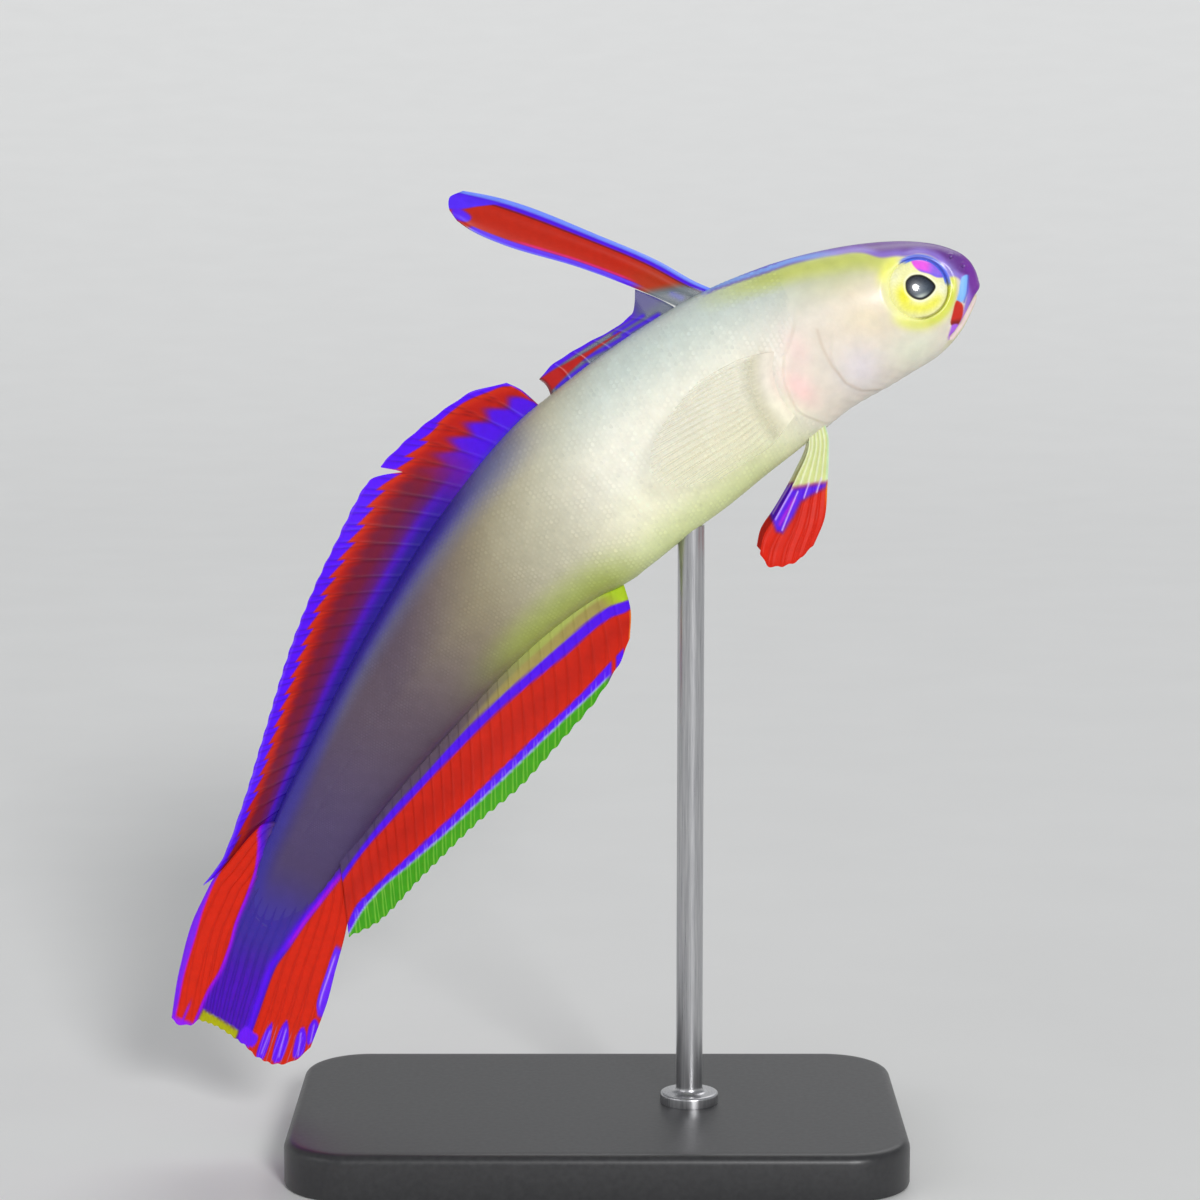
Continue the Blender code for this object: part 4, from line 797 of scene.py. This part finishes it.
# The anal fin, one spine and 28 soft rays under the rear of the body.
# Thin web between rays, lime and tan at its foot, then violet, red, violet and green to a ragged margin.
# It is made as the second dorsal is, with its bands at measured heights along the fish.
INNER_TOP = ((35.8, -8.6), (36.5, -8.4), (38.0, -7.8), (40.0, -7.45), (43.0, -7.15), (46.0, -6.75),
             (50.0, -6.1), (54.0, -5.5), (58.0, -5.0), (62.0, -4.3), (66.4, -3.7), (72.0, -3.2))
INNER_BOTTOM = ((35.8, -9.2), (37.2, -9.0), (38.5, -8.5), (40.0, -8.25), (43.0, -8.0), (46.0, -7.5),
                (50.0, -6.8), (54.0, -6.2), (58.0, -5.55), (62.0, -4.85), (66.4, -4.05), (72.0, -3.6))
OUTER_TOP = ((38.0, -10.6), (40.0, -10.8), (44.0, -10.8), (48.0, -10.45), (50.0, -10.15), (54.0, -9.5),
             (58.0, -8.75), (61.0, -8.1), (65.0, -7.05), (68.0, -6.1), (70.0, -5.6), (72.2, -5.75))
OUTER_BOTTOM = ((38.0, -11.3), (42.0, -11.45), (44.0, -11.4), (48.0, -11.0), (50.0, -10.75), (54.0, -10.15),
                (58.0, -9.4), (61.0, -8.75), (65.0, -7.6), (68.0, -6.6), (70.0, -6.2), (72.2, -6.1))


def anal_colour(s, h, x, crest):
    """Bands parted at four measured heights, one to four from the foot outwards, with pale streaks along
    the rays across the outer ones."""
    one, two = ease(INNER_TOP, s), ease(INNER_BOTTOM, s)
    three, four = ease(OUTER_TOP, s), ease(OUTER_BOTTOM, s)
    wide = np.interp(s, (38, 46, 56), (0.85, 0.75, 0.1))
    broken = 1 - soft(s, 42.6, 41.6) * soft(np.cos(2 * np.pi * x), -0.2, -0.8)
    outer = soft(h, three + 0.07, three - 0.07) * soft(s, 39.2, 39.8) * broken
    green = soft(h, four + 0.06, four - 0.06) * soft(s, 41.6, 43.0)
    streak = soft(crest, 0.25, 0.8) * soft(h, three, three - 0.4)
    return paint(
        body_colour(s, ease(BELLY, s) + 0.5),
        ((162, 148, 84), soft(h, one + wide + 0.15, one + wide - 0.15) * soft(s, 56, 47)),
        ((172, 202, 34), soft(s, 38.5, 36.6)),
        ((80, 4, 236), soft(h, one + 0.1, one - 0.1)),
        ((204, 31, 2), soft(h, two + 0.1, two - 0.1)),
        ((164, 20, 6), 0.45 * hill((h - 0.5 * (two + three)) / (two - three), 0.3)),
        ((82, 10, 240), outer),
        ((58, 156, 18), green),
        ((176, 196, 236), 0.42 * streak * soft(s, 41, 43) * (1 - green)),
        ((168, 214, 92), 0.5 * streak * green),
        ((176, 200, 232), 0.75 * hill(h - four, 0.07) * soft(s, 41.5, 43)),
        ((120, 20, 10), 0.16 * crest * soft(h, two, two - 0.3) * soft(h, three - 0.1, three)),
    )


RAYS = 29
root = foot_line(BELLY, 35.5, 67.0, FIN_SINK)
front = ((36.9, -9.2), (38.6, -10.6))
rear = ((69.4, -4.5), (72.2, -6.25))
margin = ((0.04, 41.0, -11.45), (0.12, 45.6, -12.05), (0.3, 53.0, -11.7), (0.5, 59.3, -10.25),
          (0.7, 65.2, -9.0), (0.88, 70.0, -7.85))
c, t, x, s, h = stretched(root, front, rear, margin, RAYS, per_ray=12, rows=52, scallop=0.022)
sway = 0.4 * np.sin(3 * np.pi * c) * t ** 1.5 - 0.3 * soft(c, 0.86, 0.97)
middle = place(s, h, sway)
crest = ray_crest(middle, x, RAYS, width=0.1)
colour = paint(anal_colour(s, h, x, crest), ((238, 132, 44), soft(x, 0.16, 0.04) * soft(h, -8.9, -9.3)))
fin("anal_web", middle, fin_half(t, crest), tint(colour), "anal_fin", web)

# The tail fin, its 17 rays fanned between two rounded lobes round a shallow notch.
# A web over branched rays: plum and blue violet in the middle, red lobes edged in violet, and a
# yellow hem in the notch. Its foot is sunk in the flat end of the tail stalk.
UPPER_TOP = ((66.0, 3.6), (69.8, 4.1), (71.8, 4.6), (73.2, 4.66), (75.0, 4.55), (77.5, 4.15), (80.0, 3.8),
             (83.0, 3.15), (84.3, 2.9))
UPPER_BOTTOM = ((66.0, 3.85), (68.0, 3.55), (69.0, 3.05), (70.0, 2.65), (71.0, 2.35), (73.0, 2.1),
                (75.0, 1.95), (77.0, 1.6), (79.0, 1.45), (81.0, 1.65), (83.4, 1.6), (84.5, 1.5))
LOWER_TOP = ((66.0, -3.85), (68.0, -3.7), (69.5, -3.45), (71.0, -3.2), (73.0, -2.85), (75.0, -2.6),
             (77.0, -2.3), (79.0, -2.45), (81.0, -2.65), (82.4, -2.75), (84.5, -2.8))
LOWER_BOTTOM = ((66.0, -6.0), (73.0, -5.65), (76.0, -5.95), (78.0, -6.25), (79.0, -6.75), (84.5, -8.5))
FINGERS = (((81.0, -3.85), (82.2, -3.62), (83.9, -3.78), (83.9, -4.35), (82.4, -4.3)),
           ((80.35, -4.8), (81.6, -4.6), (83.6, -5.0), (83.3, -5.65), (81.6, -5.5)),
           ((80.2, -6.1), (81.2, -5.95), (82.7, -6.35), (82.2, -6.95), (80.9, -6.7)),
           ((79.25, -6.65), (80.1, -6.5), (81.3, -6.95), (80.6, -7.35), (79.6, -7.15)))
FINGER_MIDDLES = (((81.6, -3.97), (83.6, -4.08)), ((80.9, -5.0), (83.2, -5.38)),
                  ((80.7, -6.15), (82.4, -6.65)), ((79.7, -6.8), (81.0, -7.1)))
LOBE_SPOT = ((82.2, -2.1), (83.1, -1.95), (83.6, -2.6), (83.3, -3.3), (82.5, -3.35), (82.3, -2.8))


def tail_colour(s, h, crest):
    """Middle, lobes and hems parted at four measured heights, a to d from the top down, with violet
    fingers on the lower lobe's margin."""
    a, b = ease(UPPER_TOP, s), ease(UPPER_BOTTOM, s)
    c, d = ease(LOWER_TOP, s), ease(LOWER_BOTTOM, s)
    red = np.clip(soft(h, b - 0.05, b + 0.1) + soft(h, c + 0.05, c - 0.1), 0, 1)
    pale = soft(crest, 0.5, 0.95) * soft(s, 80.6, 81.4) * soft(h, -3.4, -3.8)
    return paint(
        (76, 60, 102),
        ((56, 40, 154), soft(s, 68.5, 74.5)),
        ((72, 4, 186), soft(s, 75, 80)),
        ((46, 16, 120), 0.4 * crest * soft(s, 74, 78)),
        ((78, 14, 206), hill(b - h - 0.25, 0.6) * soft(s, 71.5, 69)),
        ((84, 0, 236), hill(h - c - 0.32, 0.3) * soft(s, 66.5, 69)),
        ((176, 0, 226), 0.9 * hill(h - c - 0.14, 0.17) * soft(s, 76, 74) * soft(s, 66.5, 69)),
        ((150, 0, 226), hill(b - h - 0.06, 0.2)),
        ((170, 172, 6), soft(s - 0.13 * (1.3 - h), 82.2, 82.45) * soft(h, -1.95, -1.7) * soft(h, 1.5, 1.2)),
        ((210, 34, 2), red),
        ((150, 24, 18), 0.25 * crest * red),
        ((118, 30, 230), soft(h, a - 0.06, a + 0.06) * soft(s, 70, 72)),
        ((196, 0, 214), 0.6 * hill(h - a, 0.08) * soft(s, 72, 74)),
        ((132, 10, 236), hill(h - 2.42, 0.1) * soft(s, 81.6, 82.8)),
        ((140, 20, 236), soft(s, 83.45, 83.75) * soft(h, 1.2, 1.5)),
        ((104, 34, 246), soft(h, d + 0.06, d - 0.06) * soft(s, 73.0, 73.6) * soft(s, 79.2, 78.7)),
        ((190, 170, 250), 0.8 * hill(h - d + 0.26, 0.07) * soft(s, 73.6, 74.4) * soft(s, 78.6, 77.8)),
        ((106, 16, 246), blot(LOBE_SPOT, s, h, 0.14)),
        *[((96, 8, 244), blot(outline, s, h, 0.14)) for outline in FINGERS],
        *[((178, 158, 252), 0.7 * hill(beside(line, s, h), 0.07)) for line in FINGER_MIDDLES],
        ((184, 150, 250), 0.45 * pale),
    )


RAYS = 17
root = ((66.6, 2.2), (66.6, -0.2), (66.6, -2.8))
front = ((67.4, 3.4), (68.6, 3.85), (70.2, 4.2), (71.6, 4.5), (73.2, 4.9), (75.6, 4.9), (80.0, 4.25),
         (83.8, 3.26))
rear = ((67.8, -4.0), (70.2, -5.3), (72.4, -5.95), (75.0, -6.45), (78.0, -7.0), (81.4, -7.25))
margin = ((0.05, 84.15, 2.7), (0.11, 83.9, 1.75), (0.16, 83.25, 1.25), (0.32, 83.2, 0.0), (0.48, 83.4, -1.5),
          (0.6, 83.6, -2.7), (0.7, 84.0, -3.9), (0.78, 84.0, -4.8), (0.86, 83.7, -5.7), (0.94, 82.7, -6.75))
c, t, x, s, h = stretched(root, front, rear, margin, RAYS, per_ray=16, rows=84, scallop=0.006)
middle = place(s, h, 0.5 * np.sin(1.5 * np.pi * c) * t ** 3)
crest = ray_crest(middle, x, RAYS, width=0.09, fork=0.24)
colours = tint(tail_colour(s, h, crest))
fin("tail_web", middle, fin_half(t, crest, root=0.3), colours, "caudal_fin", web)

# The lance, the first dorsal fin's tall front spines with the web between them.
# Two spines and a stiff rear edge, with a web that is red between a light blue front and a violet rear.
# The same stretched sheet, clear at its foot, where the red stops.
FOOT_STREAKS = (((19.6, 7.2), (20.0, 7.8)), ((20.9, 7.5), (21.4, 8.3)))
LANCE_SPOT = ((27.55, 20.7), (27.95, 20.6), (28.35, 21.3), (28.2, 21.95), (27.75, 21.6))


def lance_colour(s, h, c):
    """Stripes along the blade by share of its width, which end in a violet tip and a clear foot."""
    reach = 0.85 * soft(h, 18.5, 22.4)
    tip = soft(c + 0.35, 0.2 + reach, 0.12 + reach)
    rear = soft(c, 0.82, 0.87) * soft(h, 9.0, 10.2) * soft(h, 20.4, 19.9)
    return paint(
        (186, 32, 4),
        ((168, 58, 18), 0.6 * soft(h, 12, 9)),
        ((104, 114, 122), soft(h + 0.4 * (20.5 - s), 9.0, 8.2)),
        *[((86, 92, 226), 0.7 * hill(beside(line, s, h), 0.2)) for line in FOOT_STREAKS],
        ((84, 6, 30), 0.8 * hill(c - 0.25, 0.02)),
        ((80, 14, 226), soft(c, 0.25, 0.2)),
        ((82, 36, 240), tip * soft(h, 18.5, 19.5)),
        ((112, 138, 250), soft(c, 0.15, 0.08)),
        ((222, 20, 150), 0.8 * hill(c - 0.81, 0.035) * soft(h, 9.5, 11.0) * soft(h, 18, 16.5)),
        ((84, 24, 232), rear),
        ((120, 128, 246), 0.8 * soft(c, 0.93, 0.98) * soft(h, 10.0, 11.5) * soft(h, 20.4, 19.9)),
        ((88, 26, 236), blot(LANCE_SPOT, s, h, 0.2)),
    )


RAYS = 3
root = foot_line(BACK, 17.3, 19.9, -FIN_SINK, 3)
front = ((18.3, 7.75), (19.7, 10.4), (22.0, 14.2), (25.5, 20.35), (27.05, 22.55))
rear = ((21.7, 9.3), (24.05, 13.0), (27.05, 17.7), (28.0, 19.9), (28.3, 21.1))
margin = ((0.4, 27.8, 22.8), (0.7, 28.3, 21.95))
c, t, x, s, h = stretched(root, front, rear, margin, RAYS, per_ray=26, rows=150, scallop=0.0)
middle = place(s, h, 0.25 * np.sin(np.pi * c) * t ** 1.5)
crest = hill((x - 0.12) * 1.1, 0.16) + 0.5 * hill((x - 0.95) * 1.1, 0.2) + 0.4 * hill((x - 1.88) * 1.1, 0.12)
half = fin_half(t, crest, web=0.06, ridge=0.09)
shown = soft(c, 0.2, 0.12) + soft(h + 0.4 * (20.5 - s), 7.8, 8.9)
colours = tint(lance_colour(s, h, c), np.clip(0.5 + 0.5 * shown + 0.4 * crest, 0, 1))
glassy_web = living("wet fin web, clear at its foot", clear=True, **WEB_FINISH)
fin("lance_web", middle, half, colours, "dorsal_lance", glassy_web)

# The rest of the first dorsal fin, folded low behind the lance.
# A clear web with a red and violet flash near its top and violet dashes along its foot.
# It is made as the other fins on the back are.
DASHES = (((21.5, 7.0), (24.2, 7.15)), ((22.4, 7.55), (24.6, 7.6)), ((23.9, 6.95), (25.6, 7.1), (27.2, 7.4)),
          ((27.3, 6.95), (29.8, 7.0)))
WEDGE = ((24.2, 7.45), (26.4, 7.65), (28.4, 7.95), (30.4, 8.3), (30.6, 7.1), (28.6, 7.25), (27.0, 7.4))


def folded_colour(s, h, x, crest):
    """Violet dashes at the foot, a red wedge that widens to the rear and a violet top line, each with its
    share of cover as alpha."""
    dashes = np.max([hill(beside(line, s, h), 0.16) for line in DASHES], axis=0)
    wedge = blot(WEDGE, s, h, 0.2)
    line = np.interp(s, (21, 24, 30.5), (7.7, 7.8, 8.25))
    top = soft(h, line - 0.1, line + 0.1)
    last_ray = soft(x, 5.8, 5.95)
    colour = paint(
        (94, 104, 128),
        ((78, 66, 150), 0.8 * soft(s, 24.5, 22.5) * soft(h, 7.3, 8.1)),
        ((70, 30, 210), dashes),
        ((180, 24, 20), wedge),
        ((78, 16, 224), top * soft(s, 22.4, 23.4)),
        ((84, 10, 24), 0.8 * last_ray),
    )
    shown = 0.62 + 0.3 * crest + dashes + wedge + top * soft(s, 22.0, 23.4) + 0.6 * last_ray
    return tint(colour, np.clip(shown, 0, 1))


RAYS = 7
root = foot_line(BACK, 20.1, 30.6, -FIN_SINK, 5)
front = ((20.8, 7.8), (21.9, 9.5))
rear = ((30.3, 7.6), (30.4, 8.25))
margin = ((0.06, 22.4, 8.75), (0.13, 23.0, 8.1), (0.3, 24.3, 7.95), (0.6, 27.0, 8.3), (0.85, 29.2, 8.5))
c, t, x, s, h = stretched(root, front, rear, margin, RAYS, per_ray=20, rows=34, scallop=0.02)
middle = place(s, h, 0 * t)
crest = ray_crest(middle, x, RAYS, width=0.11, fork=0.0)
colours = folded_colour(s, h, x, crest)
fin("folded_dorsal_web", middle, fin_half(t, crest), colours, "first_dorsal_rear", glassy_web)

# The pectoral fins, one behind each gill cover, spread a little off the flank.
# A glass-clear web on 18 fine pale rays, so the body shows through it.
# A stretched sheet whose foot is sunk in a low fleshy lobe, with its rays raised on both faces.
RAYS = 18
root = ((15.9, 0.9), (16.7, -0.6), (17.0, -2.4), (16.7, -4.1))
front = ((18.2, 1.55), (21.5, 1.75))
rear = ((19.8, -5.2), (24.0, -5.25))
margin = ((0.2, 24.1, 1.0), (0.4, 26.4, 0.05), (0.55, 27.6, -1.0), (0.68, 28.1, -2.2), (0.8, 27.5, -3.5))


def fin_pair(kind, s, h, off, half, colours, material):
    """Both fins of a pair: one sheet that stands off from the middle plane to the right and to the left."""
    for side, word in ((-1, "right"), (1, "left")):
        middle = place(s, h, side * off)
        fin(kind + "_web_" + word, middle, half, colours, kind + "_fin_" + word, material)


c, t, x, s, h = stretched(root, front, rear, margin, RAYS, per_ray=12, rows=56, scallop=0.03)
reach = np.hypot(s - s[:, :1], h - h[:, :1])
# The web starts in the flank, comes off it in its first millimetre, and then spreads at one in five.
off = flank(s[:, :1], h[:, :1]) - 0.12 + 0.6 * (1 - np.exp(-reach / 0.6))
off = off + 0.2 * reach - 0.09 * (c - 0.5) * reach
crest = ray_crest(place(s, h, off), x, RAYS, width=0.075)
lines = crest * soft(reach, 0.6, 3.5)
colour = paint(
    (244, 240, 214),
    ((204, 196, 160), 0.9 * lines),
    (body_colour(s - 0.6, h), soft(reach, 1.9, 0.5)),
)
colours = tint(colour, np.clip(0.05 + 0.3 * lines + soft(reach, 2.2, 0.2), 0, 1))
half = fin_half(t, crest * soft(reach, 0.6, 2.4), web=0.035, ridge=0.06, root=0.2)
clear_web = living("clear fin web", rough=0.4, mottle=1500.0, grain=8000.0, height=0.006, shine=0.25,
                   coat=0.05, coat_rough=0.15, clear=True)
fin_pair("pectoral", s, h, off, half, colours, clear_web)

# The pelvic fins, one spine and five rays each, hung close together under the breast.
# A pale narrow stalk that widens into a red blade, with a violet band where they meet.
# Each foot is sunk in the breast, and the blade spreads a little outwards.
BLADE_START = ((14.0, -10.0), (16.6, -9.75), (17.6, -9.45), (19.3, -9.0), (20.6, -8.6))
VIOLET_END = ((14.0, -10.4), (16.9, -10.05), (18.4, -10.05), (19.4, -10.1), (20.6, -10.75), (22.2, -11.35),
              (22.6, -11.0), (22.4, -10.2), (22.9, -9.6))
WHITE_RAYS = (((16.9, -9.3), (17.8, -10.05)), ((18.0, -9.2), (19.0, -9.95)), ((19.2, -9.35), (22.1, -11.15)),
              ((19.5, -9.0), (22.1, -10.25)))
MAGENTA_STREAK = ((19.8, -9.7), (22.0, -10.7))
RAYS = 6
depth = float(ease(BELLY, 15.2)) + 0.9
root = ((14.55, depth), (15.95, depth - 0.1))
front = ((14.75, -6.7), (15.35, -7.9), (16.7, -10.0), (18.3, -12.0), (20.4, -13.3))
rear = ((16.5, -6.8), (18.6, -8.35), (21.8, -10.0), (23.7, -10.75), (24.9, -11.7))
margin = ((0.35, 22.5, -13.65), (0.65, 24.1, -13.3), (0.86, 25.0, -12.6))
c, t, x, s, h = stretched(root, front, rear, margin, RAYS, per_ray=18, rows=96, scallop=0.012)
reach = np.hypot(s - s[:, :1], h - h[:, :1])
# Each fin hangs 1.2 mm off the middle plane and leans outwards past its stalk.
off = 1.2 + 0.13 * np.maximum(reach - 0.8, 0) + 0.025 * np.sin(np.pi * c) * reach
crest = ray_crest(place(s, h, off), x, RAYS, width=0.12, fork=0.16)
blade = soft(beside(BLADE_START, s, h), 0.25, -0.3)
violet = blade * soft(beside(VIOLET_END, s, h), -0.25, 0.25)
colour = paint(
    (206, 214, 142),
    ((244, 248, 226), 0.6 * crest),
    ((202, 232, 190), 0.8 * soft(x, 0.5, 0.2)),
    ((212, 30, 0), blade),
    ((180, 26, 8), 0.3 * blade * crest),
    ((88, 16, 226), violet),
    ((176, 30, 214), 0.8 * violet * hill(beside(MAGENTA_STREAK, s, h), 0.16)),
    *[((226, 214, 252), 0.75 * hill(beside(line, s, h), 0.07)) for line in WHITE_RAYS],
    ((242, 150, 36), 0.85 * blade * soft(x, 0.3, 0.08) * soft(h, -11.9, -10.2)),
)
half = fin_half(t, crest, web=0.07, ridge=0.09, root=0.3)
fin_pair("pelvic", s, h, off, half, tint(colour), web)

# The stand's base, a flat plate with rounded corners and edges.
# Moulded plastic, satin black with a fine grain. It is one closed form, turned up from a rounded outline.
BASE_LENGTH = 46.0
BASE_DEPTH = 28.0
BASE_HEIGHT = 3.5
BASE_MIDDLE = 2.0
BASE_CORNER = 5.0
BASE_ROUND = 0.7
BASE_COLUMNS = 96


def made_finish(name, colour, dark, rough, metal, stretch, height):
    """Material of a made surface: noise on Object coordinates, stretched along the way it was worked."""
    made = bpy.data.materials.new(name)
    made.use_nodes = True
    tree = made.node_tree
    spot = add_node(tree, "TexCoord", "Object", {})
    turned = add_node(tree, "Mapping", "Vector", {"Vector": spot, "Scale": stretch})
    grain = add_node(tree, "TexNoise", "Fac", {"Vector": turned, "Scale": 1.0, "Detail": 5.0})
    tone = add_node(tree, "ValToRGB", "Color", {"Fac": grain})
    for stop, position, shade in zip(tone.node.color_ramp.elements, (0.3, 0.7), (dark, colour)):
        stop.position = position
        stop.color = (*shade, 1.0)
    gloss = add_node(tree, "MapRange", "Result",
                     {"Value": grain, "To Min": rough - 0.08, "To Max": rough + 0.08})
    bump = add_node(tree, "Bump", "Normal", {"Height": grain, "Strength": 0.5, "Distance": height * MM})
    feed(tree.nodes["Principled BSDF"],
         {"Base Color": tone, "Metallic": metal, "Roughness": gloss, "Normal": bump})
    return made


def turned_up(name, outline_at, levels):
    """Closed form of rings, each an outline drawn in by some distance at a height, its ends closed flat."""
    rings = np.stack([outline_at(inset, z) for inset, z in levels])
    return closed(name, rings, np.stack((rings[0].mean(0), rings[-1].mean(0))), sharp=35)


def base_outline(inset, z):
    """Rectangle with round corners: the corner's middle plus its radius round each quarter turn."""
    turn = np.linspace(0, 2 * np.pi, BASE_COLUMNS, endpoint=False) + np.pi / BASE_COLUMNS
    across = np.sign(np.cos(turn)) * (BASE_LENGTH / 2 - BASE_CORNER) + (BASE_CORNER - inset) * np.cos(turn)
    deep = np.sign(np.sin(turn)) * (BASE_DEPTH / 2 - BASE_CORNER) + (BASE_CORNER - inset) * np.sin(turn)
    return np.stack((BASE_MIDDLE + across, deep, np.full(BASE_COLUMNS, z)), -1)


bend = np.radians(np.linspace(0, 90, 7))
levels = [(0.3, 0.0), (0.08, 0.08), (0.0, 0.3)]
levels += list(zip(BASE_ROUND * (1 - np.cos(bend)), BASE_HEIGHT - BASE_ROUND * (1 - np.sin(bend))))
levels += [(1.2, BASE_HEIGHT)]
base = turned_up("base_plate", base_outline, levels)
base.data.materials.append(made_finish("satin black plastic", (0.03, 0.03, 0.032), (0.022, 0.022, 0.024),
                                       rough=0.38, metal=0.0, stretch=(2600, 2600, 2600), height=0.01))
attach(base, "root")
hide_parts("stand_base")

# The stand's rod, one thin round bar with a small foot, screwed down in the base.
# Brushed steel, drawn along its length. Its profile is turned round its axis, its foot stands on the
# plate, and its top goes a little way into the belly.
ROD_X = 9.0
ROD_RADIUS = 1.0
FOOT_RADIUS = 2.2
FOOT_HEIGHT = 0.8
FOOT_ROUND = 0.2
FILLET = 0.4
ROD_COLUMNS = 48


def underside(x):
    """World height of the belly's middle line over x, read off the skin's own line."""
    s = np.linspace(18, 40, 111)
    line = place(s, ease(BELLY, s), 0 * s)
    return float(np.interp(-x, -line[:, 0], line[:, 2]))


def rod_ring(radius, z):
    """Circle round the rod's axis."""
    turn = np.linspace(0, 2 * np.pi, ROD_COLUMNS, endpoint=False)
    return np.stack((ROD_X + radius * np.cos(turn), radius * np.sin(turn), np.full(ROD_COLUMNS, z)), -1)


foot = BASE_HEIGHT + 0.01
shoulder = foot + FOOT_HEIGHT
edge = shoulder - FOOT_ROUND
levels = [(FOOT_RADIUS, foot), (FOOT_RADIUS, edge)]
levels += [(FOOT_RADIUS - FOOT_ROUND * (1 - np.cos(a)), edge + FOOT_ROUND * np.sin(a)) for a in bend[1:]]
levels += [(ROD_RADIUS + FILLET * (1 - np.sin(a)), shoulder + FILLET * (1 - np.cos(a))) for a in bend]
levels += [(ROD_RADIUS, z) for z in np.linspace(shoulder + 0.5, underside(ROD_X) + 0.6, 24)]
rod = turned_up("steel_rod", rod_ring, levels)
rod.data.materials.append(made_finish("brushed steel", (0.6, 0.6, 0.61), (0.42, 0.42, 0.44), rough=0.3,
                                      metal=1.0, stretch=(9000, 9000, 260), height=0.004))
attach(rod, "root")
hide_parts("stand_rod")

# The floor, a plain pale sheet of matt board.
# It lies level under the stand and rises gently far away on every side, so no edge shows.
FLOOR_COLUMNS = 120
FLOOR_RISE = 900
radius = np.concatenate(([0.001], np.geomspace(20, 2600, 80)))[:, None]
turn = np.linspace(0, 2 * np.pi, FLOOR_COLUMNS, endpoint=False)[None, :]
height = FLOOR_RISE * soft(radius, 420, 3400) * (1 + 0 * turn)
points = np.stack((radius * np.cos(turn), radius * np.sin(turn), height), -1)
floor = solid("floor", points.reshape(-1, 3), (squares(*height.shape, True),))
floor.data.materials.append(made_finish("pale floor", (0.8, 0.8, 0.79), (0.78, 0.78, 0.77), rough=0.7,
                                        metal=0.0, stretch=(60, 60, 60), height=0.02))

# Soft studio light: the main lamp above the camera and to its right, a weaker and broader one from the
# tail's side, and one from behind and above. A dim, slightly blue room fills the shadows.


def lamp(name, direction, spread, strength):
    """Even light from a direction, softened over this many degrees."""
    light = bpy.data.lights.new(name, "SUN")
    light.angle = np.radians(spread)
    light.energy = strength
    made = bpy.data.objects.new(name, light)
    made.rotation_euler = Vector(direction).to_track_quat("Z", "Y").to_euler()
    bpy.context.scene.collection.objects.link(made)


lamp("lamp_front", (0.3, -0.9, 0.4), spread=12.0, strength=2.0)
lamp("lamp_left", (-0.8, -0.5, 0.25), spread=50.0, strength=0.7)
lamp("lamp_behind", (0.2, 0.65, 0.75), spread=40.0, strength=0.65)
sky = bpy.data.worlds.new("pale room")
sky.use_nodes = True
sky.node_tree.nodes["Background"].inputs["Color"].default_value = (0.93, 0.96, 1.0, 1.0)
sky.node_tree.nodes["Background"].inputs["Strength"].default_value = 0.3
bpy.context.scene.world = sky
bpy.context.scene.view_settings.view_transform = "Standard"

# The camera looks square at the fish's right side from eight degrees above, as the photograph was taken,
# from far enough off to take in the whole of the fish and its stand.
TARGET = Vector((0.002219, 0.0, 0.042026))
DISTANCE = 0.254658
ELEVATION = 8.0
rise = np.radians(ELEVATION)
camera = bpy.data.objects.new("camera", bpy.data.cameras.new("camera"))
camera.data.sensor_width = 36.0
camera.data.lens = 102.5
camera.data.clip_start = 0.01
camera.location = TARGET + Vector((0.0, -np.cos(rise), np.sin(rise))) * DISTANCE
camera.rotation_euler = (TARGET - camera.location).to_track_quat("-Z", "Y").to_euler()
bpy.context.scene.collection.objects.link(camera)
bpy.context.scene.camera = camera
